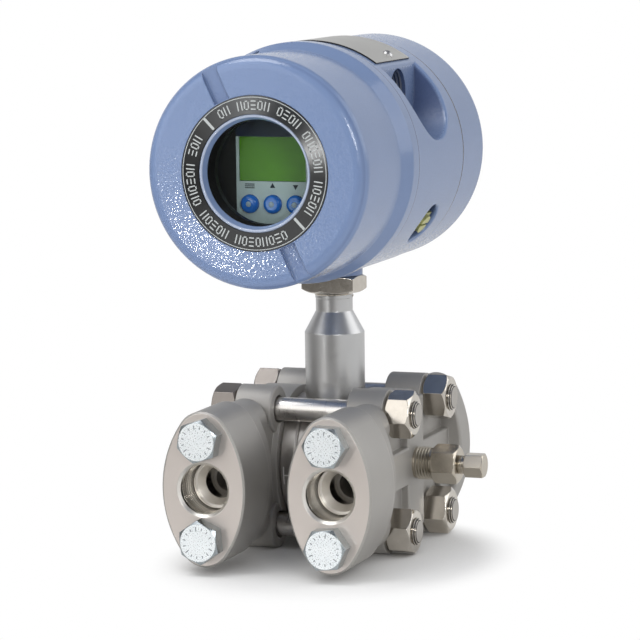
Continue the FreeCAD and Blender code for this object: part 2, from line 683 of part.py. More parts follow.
def lock_nut():
    end = LOCK_NUT_START + LOCK_NUT_THICK
    nut = hexagon(LOCK_NUT_FLATS, LOCK_NUT_START, end, turn=LOCK_NUT_TURN, chamfer=NUT_CHAMFER)
    nut.rotate(ORIGIN, Y_AXIS, -90)
    return nut.cut(rod_z(NECK_THREAD_RADIUS, LOCK_NUT_START, end))


def neck_seal(clearance=0.0):
    inner = NECK_THREAD_RADIUS + NECK_THREAD_CLEARANCE
    outer = inner + NECK_SEAL_WIDTH + clearance
    z1 = HOUSING_SEAT + NECK_SEAL_DEPTH + clearance
    return rod_z(outer, HOUSING_SEAT, z1).cut(rod_z(inner, HOUSING_SEAT, z1))


def conduit_pocket(wall, flat):
    """The right cable pocket: a U open at the top, cut in from the side to a flat face."""
    radius = POCKET_RADIUS + wall
    z = HOUSING_AXIS + POCKET_RISE
    reach = BARREL_RADIUS + CUT_OVER
    bottom = rod_x(radius, flat, reach, POCKET_AT, z)
    top = z + BARREL_RADIUS
    return bottom.fuse(block(flat, reach, POCKET_AT - radius, POCKET_AT + radius, z, top))


def earth_rod(radius, inner, outer):
    """A rod along the earth terminal's radial line, between two distances from the housing's axis."""
    rod = rod_x(radius, inner, outer, EARTH_AT, 0)
    rod.rotate(ORIGIN, Y_AXIS, -EARTH_ANGLE)
    return rod.translated(vec(0, 0, HOUSING_AXIS))


def opens_barrel(edge):
    """True for an edge on the barrel's outside, between its two rims and above the neck's boss."""
    seam = SEAM_GAP + SEAM_EDGE
    span = edge.LastParameter - edge.FirstParameter
    points = [edge.valueAt(edge.FirstParameter + span * share) for share in (0, 0.25, 0.5, 0.75, 1)]
    if min(point.z for point in points) < HOUSING_SEAT + HOUSING_BOSS_RADIUS / 2:
        return False
    return all(
        abs(math.hypot(point.x, point.z - HOUSING_AXIS) - BARREL_RADIUS) < 1e-4
        and seam - BODY_FRONT < point.y < BODY_REAR - seam
        for point in points
    )


def housing_body():
    """The barrel casting: two threaded spigots behind seats for the covers, a bulkhead and recesses."""
    front = -BODY_FRONT - SPIGOT_LENGTH
    rear = BODY_REAR + SPIGOT_LENGTH
    rims = (SEAM_GAP - BODY_FRONT, BODY_REAR - SEAM_GAP)
    barrel = barrel_rod(BARREL_RADIUS, *rims)
    for y in rims:
        barrel = round_rim(barrel, BARREL_RADIUS, y, SEAM_EDGE)
    seats = barrel_rod(BARREL_RADIUS - SEAM_DEPTH, -BODY_FRONT, BODY_REAR)
    outer = [barrel, seats, barrel_rod(SPIGOT_RADIUS, front, rear)]
    outer.append(rod_z(HOUSING_BOSS_RADIUS, HOUSING_SEAT, HOUSING_AXIS))
    cavity = barrel_rod(CAVITY_RADIUS, front, rear)
    shell_flat = POCKET_FLAT - CONDUIT_LENGTH
    shell = conduit_pocket(POCKET_WALL, shell_flat)
    earth_floor = BARREL_RADIUS - EARTH_DEPTH
    earth_shell = earth_rod(EARTH_RADIUS + EARTH_WALL, earth_floor - EARTH_WALL, BARREL_RADIUS)
    bulkhead = barrel_rod(BARREL_RADIUS, -BULKHEAD_AT, -BULKHEAD_AT + BULKHEAD_THICK)
    cavity = drilled(cavity, [shell, mirrored(shell), earth_shell, bulkhead])
    pocket = conduit_pocket(0, POCKET_FLAT)
    entry = rod_x(CONDUIT_RADIUS, shell_flat, POCKET_FLAT, POCKET_AT, HOUSING_AXIS + CONDUIT_RISE)
    neck_hole = NECK_THREAD_RADIUS + NECK_THREAD_CLEARANCE
    recess = earth_rod(EARTH_RADIUS, earth_floor, BARREL_RADIUS + CUT_OVER)
    casting = drilled(fused(outer), [cavity, pocket, mirrored(pocket), recess])
    casting = casting.makeFillet(POCKET_EDGE, [edge for edge in casting.Edges if opens_barrel(edge)])
    tools = [entry, mirrored(entry)]
    tools.append(earth_rod(EARTH_SCREW_RADIUS, earth_floor - EARTH_SCREW_DEPTH, earth_floor))
    tools.append(rod_z(neck_hole, HOUSING_SEAT, HOUSING_AXIS - CAVITY_RADIUS + CUT_OVER))
    tools.append(neck_seal(GASKET_CLEARANCE))
    tools.append(barrel_rod(FEEDTHROUGH_RADIUS, -BULKHEAD_AT, -BULKHEAD_AT + BULKHEAD_THICK))
    tools += [nameplate_screw_rod(NAMEPLATE_SCREW_SHANK, side) for side in (-1, 1)]
    return drilled(casting, tools)


def nameplate():
    """A thin plate bent over the top of the barrel."""
    sheet = barrel_ring(BARREL_RADIUS + NAMEPLATE_THICK, BARREL_RADIUS, NAMEPLATE_FRONT, NAMEPLATE_REAR)
    reach = 2 * BARREL_RADIUS
    edge = math.tan(math.radians(90 - NAMEPLATE_ANGLE)) * reach
    points = [vec(0, 0, 0), vec(edge, 0, reach), vec(-edge, 0, reach), vec(0, 0, 0)]
    wedge = Part.Face(Part.makePolygon(points)).extrude(vec(0, NAMEPLATE_REAR - NAMEPLATE_FRONT, 0))
    sheet = sheet.common(wedge.translated(vec(0, NAMEPLATE_FRONT, HOUSING_AXIS)))
    return drilled(sheet, [nameplate_screw_rod(NAMEPLATE_SCREW_SHANK, side) for side in (-1, 1)])


def nameplate_screw_rod(radius, side):
    """The line of one nameplate screw, square to the barrel."""
    outer = BARREL_RADIUS + NAMEPLATE_THICK
    rod = rod_x(radius, BARREL_RADIUS - NAMEPLATE_SCREW_DEPTH, outer, NAMEPLATE_SCREW_AT)
    rod.rotate(ORIGIN, Y_AXIS, -90 + side * (90 - NAMEPLATE_SCREW_ANGLE))
    return rod.translated(vec(0, 0, HOUSING_AXIS))


def nameplate_screws():
    """Round head drive screws at the two ends of the plate."""
    screws = []
    foot = BARREL_RADIUS + NAMEPLATE_THICK
    dome_radius = (NAMEPLATE_SCREW_RADIUS ** 2 + NAMEPLATE_SCREW_RISE ** 2) / (2 * NAMEPLATE_SCREW_RISE)
    for side in (-1, 1):
        centre = vec(foot + NAMEPLATE_SCREW_RISE - dome_radius, NAMEPLATE_SCREW_AT, 0)
        dome = Part.makeSphere(dome_radius, centre)
        rise = foot + NAMEPLATE_SCREW_RISE + CUT_OVER
        head = rod_x(NAMEPLATE_SCREW_RADIUS, foot, rise, NAMEPLATE_SCREW_AT).common(dome)
        head.rotate(ORIGIN, Y_AXIS, -90 + side * (90 - NAMEPLATE_SCREW_ANGLE))
        head.translate(vec(0, 0, HOUSING_AXIS))
        screws.append(fused([head, nameplate_screw_rod(NAMEPLATE_SCREW_SHANK, side)]))
    return screws


def earth_clamp():
    """A bent saddle under the earth screw, its two legs towards the floor of the recess."""
    floor = BARREL_RADIUS - EARTH_DEPTH
    top = floor + EARTH_CLAMP_LEG
    half_length = EARTH_CLAMP_LENGTH / 2
    half_width = EARTH_CLAMP_WIDTH / 2
    y0 = EARTH_AT - half_length
    y1 = EARTH_AT + half_length
    saddle = block(floor, top + EARTH_CLAMP_SHEET, y0, y1, -half_width, half_width)
    inside_y = (y0 + EARTH_CLAMP_SHEET, y1 - EARTH_CLAMP_SHEET)
    saddle = saddle.cut(block(floor, top, *inside_y, -half_width, half_width))
    saddle = saddle.cut(rod_x(EARTH_SCREW_RADIUS + EARTH_SCREW_CLEARANCE, floor, BARREL_RADIUS, EARTH_AT))
    saddle.rotate(ORIGIN, Y_AXIS, -EARTH_ANGLE)
    return saddle.translated(vec(0, 0, HOUSING_AXIS))


def earth_screw():
    """A slotted pan head screw that clamps the earth wire."""
    floor = BARREL_RADIUS - EARTH_DEPTH
    seat = floor + EARTH_CLAMP_LEG + EARTH_CLAMP_SHEET
    end = seat + EARTH_HEAD_THICK
    shank = rod_x(EARTH_SCREW_RADIUS, floor - EARTH_SCREW_DEPTH, seat, EARTH_AT)
    head = rod_x(EARTH_HEAD_RADIUS, seat, end, EARTH_AT)
    slot = block(
        end - EARTH_SLOT_DEPTH, end, EARTH_AT - EARTH_HEAD_RADIUS, EARTH_AT + EARTH_HEAD_RADIUS,
        -EARTH_SLOT_WIDTH / 2, EARTH_SLOT_WIDTH / 2)
    screw = fused([shank, head]).cut(slot)
    screw.rotate(ORIGIN, Y_AXIS, -EARTH_ANGLE)
    return screw.translated(vec(0, 0, HOUSING_AXIS))


def key_slots(face, inward, outer):
    """Two opposite slots across a cover's face, for the bar that turns it."""
    slots = []
    half = KEY_SLOT_WIDTH / 2
    for angle in (KEY_SLOT_ANGLE, KEY_SLOT_ANGLE + 180):
        depth = sorted((face, face + inward * KEY_SLOT_DEPTH))
        slot = block(KEY_SLOT_START, outer + CUT_OVER, *depth, -half, half)
        slot.rotate(ORIGIN, Y_AXIS, -angle)
        slots.append(slot.translated(vec(0, 0, HOUSING_AXIS)))
    return slots


def cover_seal(seat, outward):
    """A round sealing ring on the spigot, in the mouth of a cover."""
    y = seat + outward * (COVER_SEAL_SECTION + COVER_SEAL_CLEARANCE)
    return Part.makeTorus(SEAL_RADIUS, COVER_SEAL_SECTION, vec(0, y, HOUSING_AXIS), Y_AXIS)


def seal_seat():
    """Radius and depth of the counterbore in which a cover's sealing ring sits."""
    radius = SEAL_RADIUS + COVER_SEAL_SECTION + COVER_SEAL_CLEARANCE
    return radius, 2 * (COVER_SEAL_SECTION + COVER_SEAL_CLEARANCE)


def lock_screw_rod(radius, inner, outer):
    """A rod along the locking screw's line in the front cover's band, square to its cone."""
    slope = math.degrees(math.atan2(BAND_RADIUS - FRONT_RADIUS, BAND_START - BAND_END))
    middle = -(BAND_START + BAND_END) / 2
    rod = Part.makeCylinder(radius, outer - inner, vec(inner, 0, 0), X_AXIS)
    rod.rotate(ORIGIN, Z_AXIS, -slope)
    rod.translate(vec((FRONT_RADIUS + BAND_RADIUS) / 2, middle, 0))
    rod.rotate(ORIGIN, Y_AXIS, -LOCK_SCREW_ANGLE)
    return rod.translated(vec(0, 0, HOUSING_AXIS))


def cover_lock_screw():
    rod = lock_screw_rod(LOCK_SCREW_RADIUS, -LOCK_SCREW_LENGTH, -LOCK_SCREW_SINK)
    socket = LOCK_SCREW_SINK + LOCK_SCREW_SOCKET
    return rod.cut(lock_screw_rod(LOCK_SCREW_SOCKET_RADIUS, -socket, 0))


def front_cover():
    """A deep cap with a stepped wall, an internal thread and a bevelled window inside a round lip."""
    blank = turned_barrel([
        (-FRONT_FACE, 0), (-FRONT_FACE, FRONT_RADIUS), (-BAND_START, FRONT_RADIUS),
        (-BAND_END, BAND_RADIUS), (-BODY_FRONT, BAND_RADIUS), (-BODY_FRONT, 0),
    ])
    blank = round_rim(blank, FRONT_RADIUS, -FRONT_FACE, FRONT_EDGE)
    blank = round_rim(blank, FRONT_RADIUS, -BAND_START, BAND_ROUND)
    blank = round_rim(blank, BAND_RADIUS, -BAND_END, BAND_ROUND)
    blank = round_rim(blank, BAND_RADIUS, -BODY_FRONT, SEAM_EDGE)
    seat_radius, seat_depth = seal_seat()
    thread_end = -BODY_FRONT - SPIGOT_LENGTH - COVER_SPARE
    window_boss = GLASS_RADIUS + GLASS_CLEARANCE + WINDOW_BOSS_WALL
    inside = turned_barrel([
        (-GLASS_BACK, window_boss), (-GLASS_BACK, COVER_INSIDE), (thread_end, COVER_INSIDE),
        (thread_end, COVER_BORE), (-BODY_FRONT - seat_depth, COVER_BORE),
        (-BODY_FRONT - seat_depth, seat_radius), (-BODY_FRONT, seat_radius), (-BODY_FRONT, 0),
        (-RETAINER_BACK, 0), (-RETAINER_BACK, window_boss),
    ])
    glass_seat = GLASS_RADIUS + GLASS_CLEARANCE
    window = turned_barrel([
        (-FRONT_FACE, 0), (-FRONT_FACE, WINDOW_MOUTH_RADIUS), (-GLASS_FRONT, WINDOW_RADIUS),
        (-GLASS_FRONT, glass_seat), (-RETAINER_BACK, glass_seat), (-RETAINER_BACK, 0),
    ])
    legend_depth = LEGEND_THICK - LEGEND_PROUD
    legend_seat = barrel_ring(
        LEGEND_OUTER_RADIUS + LEGEND_CLEARANCE, LIP_RADIUS, -FRONT_FACE, -FRONT_FACE + legend_depth)
    tools = [inside, window, legend_seat] + key_slots(-FRONT_FACE, 1, FRONT_RADIUS)
    tools.append(lock_screw_rod(LOCK_SCREW_RADIUS, -LOCK_SCREW_LENGTH, LOCK_SCREW_SINK))
    cover = drilled(blank, tools)
    for radius in (WINDOW_MOUTH_RADIUS, LIP_RADIUS):
        cover = round_rim(cover, radius, -FRONT_FACE, WINDOW_LIP * WINDOW_LIP_ROUNDING)
    return cover


def rear_cover():
    """A blind cap over the terminals, threaded like the front cover."""
    blank = round_rim(barrel_rod(REAR_RADIUS, BODY_REAR, REAR_END), REAR_RADIUS, REAR_END, REAR_EDGE)
    blank = round_rim(blank, REAR_RADIUS, BODY_REAR, SEAM_EDGE)
    seat_radius, seat_depth = seal_seat()
    thread_end = BODY_REAR + SPIGOT_LENGTH + COVER_SPARE
    inside_end = REAR_END - REAR_WALL
    inside = turned_barrel([
        (BODY_REAR, 0), (BODY_REAR, seat_radius), (BODY_REAR + seat_depth, seat_radius),
        (BODY_REAR + seat_depth, COVER_BORE), (thread_end, COVER_BORE), (thread_end, COVER_INSIDE),
        (inside_end, COVER_INSIDE), (inside_end, 0),
    ])
    return drilled(blank, [inside] + key_slots(REAR_END, -1, REAR_RADIUS))


def window_retainer():
    """A threaded ring that holds the glass against its shoulder."""
    return barrel_ring(GLASS_RADIUS, GLASS_RADIUS - RETAINER_WIDTH, -GLASS_BACK, -RETAINER_BACK)


def legend_ring():
    """The dark ring let into the face round the lip of the window, a little proud of it."""
    back = -FRONT_FACE - LEGEND_PROUD + LEGEND_THICK
    inner = LIP_RADIUS + LEGEND_CLEARANCE
    return barrel_ring(LEGEND_OUTER_RADIUS, inner, -FRONT_FACE - LEGEND_PROUD, back)


def electronics_module():
    """The potted electronics can, on a foot that stands on the bulkhead."""
    radius = CAVITY_RADIUS - MODULE_CLEARANCE
    return turned_barrel([
        (-MODULE_FRONT, 0), (-MODULE_FRONT, radius), (-MODULE_START, radius),
        (-MODULE_START, MODULE_FOOT_RADIUS), (-BULKHEAD_AT, MODULE_FOOT_RADIUS), (-BULKHEAD_AT, 0),
    ])


def display_bezel():
    """A round moulded frame on the electronics, open behind the faceplate."""
    disc = barrel_rod(CAVITY_RADIUS - MODULE_CLEARANCE - BEZEL_CLEARANCE, -BEZEL_FRONT, -MODULE_FRONT)
    gap = 2 * FACEPLATE_CLEARANCE
    opening = rounded_panel(
        FACEPLATE_WIDTH + gap, FACEPLATE_HEIGHT + gap, FACEPLATE_CORNER, -BEZEL_FRONT, -MODULE_FRONT, 0)
    return disc.cut(opening)


def display_board():
    """The circuit board behind the faceplate, carrying the panel and the push contacts."""
    return rounded_panel(
        FACEPLATE_WIDTH, FACEPLATE_HEIGHT, FACEPLATE_CORNER, -MODULE_FRONT - BOARD_THICK, -MODULE_FRONT, 0)


def lcd_panel():
    width = LCD_WIDTH + 2 * LCD_LIP
    height = LCD_HEIGHT + 2 * LCD_LIP
    back = -MODULE_FRONT - BOARD_THICK
    z = HOUSING_AXIS + LCD_CENTRE
    rear_face = -FACEPLATE_FRONT + FACEPLATE_THICK
    body = block(-width / 2, width / 2, rear_face, back, z - height / 2, z + height / 2)
    glass_front = -FACEPLATE_FRONT + LCD_SINK
    half_width = LCD_WIDTH / 2 - FACEPLATE_CLEARANCE
    half_height = LCD_HEIGHT / 2 - FACEPLATE_CLEARANCE
    glass = block(-half_width, half_width, glass_front, rear_face, z - half_height, z + half_height)
    return fused([body, glass])


def button_places():
    return [(name, k * BUTTON_SPACING) for name, k in (("menu", -1), ("up", 0), ("down", 1))]


def display_faceplate():
    """The pale front of the display, with the panel's window and three button holes."""
    plate = rounded_panel(
        FACEPLATE_WIDTH, FACEPLATE_HEIGHT, FACEPLATE_CORNER,
        -FACEPLATE_FRONT, -FACEPLATE_FRONT + FACEPLATE_THICK, 0)
    z = HOUSING_AXIS + LCD_CENTRE
    half_width = LCD_WIDTH / 2
    tools = [block(
        -half_width, half_width, -FACEPLATE_FRONT, -FACEPLATE_FRONT + FACEPLATE_THICK,
        z - LCD_HEIGHT / 2, z + LCD_HEIGHT / 2)]
    for _, x in button_places():
        tools.append(rod_y(
            BUTTON_RADIUS + BUTTON_CLEARANCE, -FACEPLATE_FRONT, -FACEPLATE_FRONT + FACEPLATE_THICK,
            x, HOUSING_AXIS - BUTTON_DROP))
    return drilled(plate, tools)


def button(x):
    """A domed push button, kept behind the faceplate by a small flange, with a stem to its contact."""
    z = HOUSING_AXIS - BUTTON_DROP
    face = -FACEPLATE_FRONT - BUTTON_STAND
    flange_start = -FACEPLATE_FRONT + FACEPLATE_THICK + BUTTON_REST_GAP
    flange_end = flange_start + BUTTON_FLANGE_THICK
    cap = rod_y(BUTTON_RADIUS, face, flange_start, x, z)
    rim = [e for e in cap.Edges if isinstance(e.Curve, Part.Circle) and abs(e.Curve.Center.y - face) < 1e-6]
    cap = cap.makeFillet(BUTTON_ROUND, rim)
    flange_disc = rod_y(BUTTON_RADIUS + BUTTON_FLANGE, flange_start, flange_end, x, z)
    stem_end = -MODULE_FRONT - BOARD_THICK - BUTTON_TRAVEL - BUTTON_REST_GAP
    stem = rod_y(BUTTON_STEM_RADIUS, flange_end, stem_end, x, z)
    return fused([cap, flange_disc, stem])


def terminal_block():
    """A moulded strip with a screw and a wire hole for each pole, plugged through the bulkhead."""
    start = -BULKHEAD_AT + BULKHEAD_THICK
    end = start + TERMINAL_DEPTH
    top = HOUSING_AXIS - TERMINAL_DROP + TERMINAL_HEIGHT / 2
    body = block(
        -TERMINAL_WIDTH / 2, TERMINAL_WIDTH / 2, start, end, top - TERMINAL_HEIGHT, top)
    plug = barrel_rod(FEEDTHROUGH_RADIUS, -BULKHEAD_AT, start + TERMINAL_WIRE_RADIUS)
    body = fused([body, plug])
    wire_z = HOUSING_AXIS - TERMINAL_DROP - TERMINAL_WIRE_DROP
    wires = [
        rod_y(TERMINAL_WIRE_RADIUS, end - TERMINAL_WIRE_DEPTH, end, x, wire_z)
        for x in terminal_places()
    ]
    return drilled(body, terminal_screw_rods(0) + wires)


def terminal_places():
    middle = (TERMINAL_COUNT - 1) / 2
    return [(k - middle) * TERMINAL_PITCH for k in range(TERMINAL_COUNT)]


def terminal_screw_rods(sink):
    end = -BULKHEAD_AT + BULKHEAD_THICK + TERMINAL_DEPTH
    z = HOUSING_AXIS - TERMINAL_DROP + TERMINAL_SCREW_RISE
    start = end - TERMINAL_SCREW_SINK - TERMINAL_SCREW_HEAD
    return [rod_y(TERMINAL_SCREW_RADIUS, start, end - sink, x, z) for x in terminal_places()]


def terminal_screws():
    """Slotted clamp screws, each sunk in its own hole of the block."""
    screws = []
    end = -BULKHEAD_AT + BULKHEAD_THICK + TERMINAL_DEPTH - TERMINAL_SCREW_SINK
    z = HOUSING_AXIS - TERMINAL_DROP + TERMINAL_SCREW_RISE
    for x, rod in zip(terminal_places(), terminal_screw_rods(TERMINAL_SCREW_SINK)):
        slot = block(
            x - TERMINAL_SCREW_RADIUS, x + TERMINAL_SCREW_RADIUS, end - TERMINAL_SLOT_DEPTH, end,
            z - TERMINAL_SLOT_WIDTH / 2, z + TERMINAL_SLOT_WIDTH / 2)
        screws.append(rod.cut(slot))
    return screws


def export(node, shapes):
    """Writes one node, shifted so that the origin lies under the middle of the whole object."""
    solids = []
    for shape in shapes:
        solids += shape.Solids
    whole = solids[0] if len(solids) == 1 else Part.makeCompound(solids)
    whole.translated(FRAME_SHIFT).exportStep("parts/" + node + ".step")


def main():
    os.makedirs("parts", exist_ok=True)
    right_flange = flange()
    right_adapter = adapter()
    diaphragm = isolating_diaphragm()
    nuts = flange_nuts()
    nodes = {
        "sensor_capsule": [sensor_capsule()],
        "isolating_diaphragm_right": [diaphragm],
        "isolating_diaphragm_left": [mirrored(diaphragm)],
        "flange_gasket_right": [flange_gasket()],
        "flange_gasket_left": [mirrored(flange_gasket())],
        "flange_right": [right_flange],
        "flange_left": [mirrored(right_flange)],
        "flange_studs": flange_studs(),
        "flange_nuts_right": nuts,
        "flange_nuts_left": [mirrored(nut) for nut in nuts],
        "adapter_right": [right_adapter],
        "adapter_left": [mirrored(right_adapter)],
        "adapter_seal_right": [adapter_seal()],
        "adapter_seal_left": [mirrored(adapter_seal())],
        "adapter_bolts_right": adapter_bolts(PORT_X, BOLT_TURNS_RIGHT),
        "adapter_bolts_left": adapter_bolts(-PORT_X, BOLT_TURNS_LEFT),
        "vent_body": [vent_body()],
        "vent_ball": [vent_ball()],
        "vent_stem": [vent_stem()],
        "vent_plug": [vent_plug()],
        "neck_tube": [neck_tube()],
        "lock_nut": [lock_nut()],
        "neck_seal": [neck_seal()],
        "housing_body": [housing_body()],
        "nameplate": [nameplate()],
        "nameplate_screws": nameplate_screws(),
        "earth_clamp": [earth_clamp()],
        "earth_screw": [earth_screw()],
        "electronics_module": [electronics_module()],
        "display_bezel": [display_bezel()],
        "display_board": [display_board()],
        "lcd_panel": [lcd_panel()],
        "display_faceplate": [display_faceplate()],
        "terminal_block": [terminal_block()],
        "terminal_screws": terminal_screws(),
        "front_cover": [front_cover()],
        "window_glass": [barrel_rod(GLASS_RADIUS, -GLASS_FRONT, -GLASS_BACK)],
        "window_retainer": [window_retainer()],
        "legend_ring": [legend_ring()],
        "cover_lock_screw": [cover_lock_screw()],
        "front_cover_seal": [cover_seal(-BODY_FRONT, -1)],
        "rear_cover": [rear_cover()],
        "rear_cover_seal": [cover_seal(BODY_REAR, 1)],
    }
    for name, x in button_places():
        nodes["button_" + name] = [button(x)]
    for node, shapes in nodes.items():
        export(node, shapes)


main()
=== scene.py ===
import math

import bmesh
import bpy
from mathutils import Matrix, Vector


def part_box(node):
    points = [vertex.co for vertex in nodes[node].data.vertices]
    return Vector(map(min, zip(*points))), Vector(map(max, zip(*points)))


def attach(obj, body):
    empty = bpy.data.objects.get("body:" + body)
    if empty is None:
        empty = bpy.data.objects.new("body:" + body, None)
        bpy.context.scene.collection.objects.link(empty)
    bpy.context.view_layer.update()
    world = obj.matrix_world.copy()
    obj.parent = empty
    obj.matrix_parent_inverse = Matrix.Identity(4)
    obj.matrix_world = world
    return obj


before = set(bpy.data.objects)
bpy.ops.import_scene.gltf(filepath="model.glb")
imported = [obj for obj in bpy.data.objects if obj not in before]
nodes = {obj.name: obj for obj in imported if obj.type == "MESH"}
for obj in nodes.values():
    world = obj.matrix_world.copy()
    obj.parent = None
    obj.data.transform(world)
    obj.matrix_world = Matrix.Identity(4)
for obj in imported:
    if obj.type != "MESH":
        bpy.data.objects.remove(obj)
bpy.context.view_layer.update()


# Sensor capsule
# The welded stainless body that holds the measuring cell: two turned halves and a middle ring, joined by
# two weld lines, with a thin foil on each side. The flanges clamp it, and it carries the neck on top.
MM = 0.001
BEVEL_SAMPLES = 6
EDGE_TURN = (0.02, 0.25)
CLOUD_SWING = 0.12
MARK_SWING = 0.16
EDGE_POLISH = 0.1
neck_low, neck_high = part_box("neck_tube")
capsule_low, capsule_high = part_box("sensor_capsule")
PORT_CENTRE = Vector((
    (neck_low.x + neck_high.x) / 2, (neck_low.y + neck_high.y) / 2, (capsule_low.z + capsule_high.z) / 2))


class Shade:
    """A shader socket that takes part in Python expressions, in the node tree of one material."""

    def __init__(self, tree, socket=None):
        self.tree = tree
        self.socket = socket

    def node(self, kind, settings=None, inputs=None, output=0):
        """Adds any other node: its settings first, then the values or links of its sockets."""
        made = self.tree.nodes.new("ShaderNode" + kind)
        for name, value in (settings or {}).items():
            setattr(made, name, value)
        for name, value in (inputs or {}).items():
            if isinstance(value, Shade):
                self.tree.links.new(value.socket, made.inputs[name])
            else:
                made.inputs[name].default_value = value
        return Shade(self.tree, made.outputs[output])

    def math(self, operation, first, second=0):
        return self.node("Math", {"operation": operation}, {0: first, 1: second})

    def __add__(self, other):
        return self.math("ADD", self, other)

    def __radd__(self, other):
        return self.math("ADD", other, self)

    def __sub__(self, other):
        return self.math("SUBTRACT", self, other)

    def __rsub__(self, other):
        return self.math("SUBTRACT", other, self)

    def __mul__(self, other):
        return self.math("MULTIPLY", self, other)

    def __rmul__(self, other):
        return self.math("MULTIPLY", other, self)

    def vector(self, operation, other=(0, 0, 0)):
        """Vector maths on this vector and another. A length and a dot product come out as numbers."""
        output = "Value" if operation in ("LENGTH", "DOT_PRODUCT") else "Vector"
        return self.node("VectorMath", {"operation": operation}, {0: self, 1: other}, output)

    def part(self, axis):
        """One of the three numbers of a vector."""
        return self.node("SeparateXYZ", {}, {"Vector": self}, axis)

    def ramp(self, low, high):
        """0 below low, 1 above high and a soft rise between them."""
        settings = {"interpolation_type": "SMOOTHSTEP"}
        return self.node("MapRange", settings, {"Value": self, "From Min": low, "From Max": high})

    def mix(self, dark, light):
        """A colour between two others, each a triple or a shade, by this mask."""
        ends = [end if isinstance(end, Shade) else (*end, 1) for end in (dark, light)]
        return self.node("Mix", {"data_type": "RGBA"}, {0: self, 6: ends[0], 7: ends[1]}, output=2)

    def feeds(self, socket):
        self.tree.links.new(self.socket, socket)


def started(name):
    """A new material: itself, its shader's inputs, and its object coordinates in millimetres."""
    material = bpy.data.materials.new(name)
    material.use_nodes = True
    tree = material.node_tree
    place = Shade(tree).node("TexCoord", output="Object")
    scaled = place.node("VectorMath", {"operation": "SCALE"}, {0: place, "Scale": 1 / MM})
    return material, tree.nodes["Principled BSDF"].inputs, scaled


def grain(place, size, stretch=(1, 1, 1), detail=2.0):
    """Noise whose blotches are about size millimetres across, drawn out where stretch is large."""
    scale = [1 / (size * factor) for factor in stretch]
    mapped = place.node("Mapping", {"vector_type": "POINT"}, {"Vector": place, "Scale": scale})
    return place.node("TexNoise", {}, {"Vector": mapped, "Scale": 1.0, "Detail": detail})


def facing(place, direction):
    """How far the surface's own normal points along a direction: 1 straight along it, 0 across it."""
    return place.node("NewGeometry", output="Normal").vector("DOT_PRODUCT", direction)


def rounded_edge(place, radius):
    """The surface's normal with its sharp edges softened, and a mask that is 1 along those edges."""
    rim = place.node("Bevel", {"samples": BEVEL_SAMPLES}, {"Radius": radius * MM})
    return rim, (1 - facing(place, rim)).ramp(*EDGE_TURN)


def tool_gloss(roughness, cloud, marks, edges):
    """A roughness that drifts with the blotches and the tool's marks, and is lower on worn edges."""
    return roughness + (cloud - 0.5) * CLOUD_SWING + (marks - 0.5) * MARK_SWING - edges * EDGE_POLISH


def raise_surface(inputs, height, depth, strength=0.5, normal=None):
    """Lifts the surface by a mask, depth in millimetres, over a normal that may have softened edges."""
    sockets = {"Height": height, "Strength": strength, "Distance": depth * MM}
    if normal:
        sockets["Normal"] = normal
    height.node("Bump", {}, sockets).feeds(inputs["Normal"])


def steel(name, dark, light, roughness, blotch, fine, depth, edge, worn, stretch=(1, 1, 1), metal=1.0):
    """A metal finish: slow blotches of tone, fine marks along the tool, edges worn a little brighter."""
    material, inputs, place = started(name)
    cloud = grain(place, blotch)
    marks = grain(place, fine, stretch)
    rim, edges = rounded_edge(place, edge)
    bright = [min(1.0, value * worn) for value in light]
    edges.mix(cloud.mix(dark, light), bright).feeds(inputs["Base Color"])
    tool_gloss(roughness, cloud, marks, edges).feeds(inputs["Roughness"])
    raise_surface(inputs, marks, depth, normal=rim)
    inputs["Metallic"].default_value = metal
    return material


def dress(node, material):
    """Gives every material slot of a carried-over piece the same finish."""
    slots = nodes[node].data.materials
    for index in range(len(slots)):
        slots[index] = material


capsule_steel = steel(
    "capsule_steel", (0.42, 0.40, 0.375), (0.52, 0.495, 0.47), roughness=0.34, blotch=20.0, fine=0.3,
    stretch=(1, 6, 6), depth=0.004, edge=0.3, worn=1.2, metal=0.8)
dress("sensor_capsule", capsule_steel)
foil = steel(
    "diaphragm_foil", (0.55, 0.55, 0.54), (0.66, 0.66, 0.65), roughness=0.2, blotch=6.0, fine=0.4,
    depth=0.004, edge=0.1, worn=1.2)
for side in ("right", "left"):
    dress("isolating_diaphragm_" + side, foil)


# Capsule mark
# Two fine lines scribed across the front of the capsule, bright where the tool cut through its dull skin:
# one along its round and a short one that meets it.
SCRIBE_RADIUS = 28.0
SCRIBE_WIDTH = 0.5
SCRIBE_THICK = 0.06
SCRIBE_LAP = 0.1
SCRIBE_X = -13.5
SCRIBE_ARC = (1.0, -14.5)
SCRIBE_STEPS = 6
SCRIBE_BAR = (-6.5, 2.2)
MOULD_BLOTCH = 6.0
MOULD_SHADE = 0.88
BAR_CORNER = 0.3
MERGE_GAP = 0.0005
SHARP_ANGLE = math.radians(35)


def moulded(name, colour, roughness, texture, depth):
    """An even finish, as on plastic, rubber or print: one colour with a faint cloud and a fine texture."""
    material, inputs, place = started(name)
    cloud = grain(place, MOULD_BLOTCH)
    cloud.mix([value * MOULD_SHADE for value in colour], colour).feeds(inputs["Base Color"])
    (roughness + (cloud - 0.5) * CLOUD_SWING).feeds(inputs["Roughness"])
    raise_surface(inputs, grain(place, texture), depth)
    return material


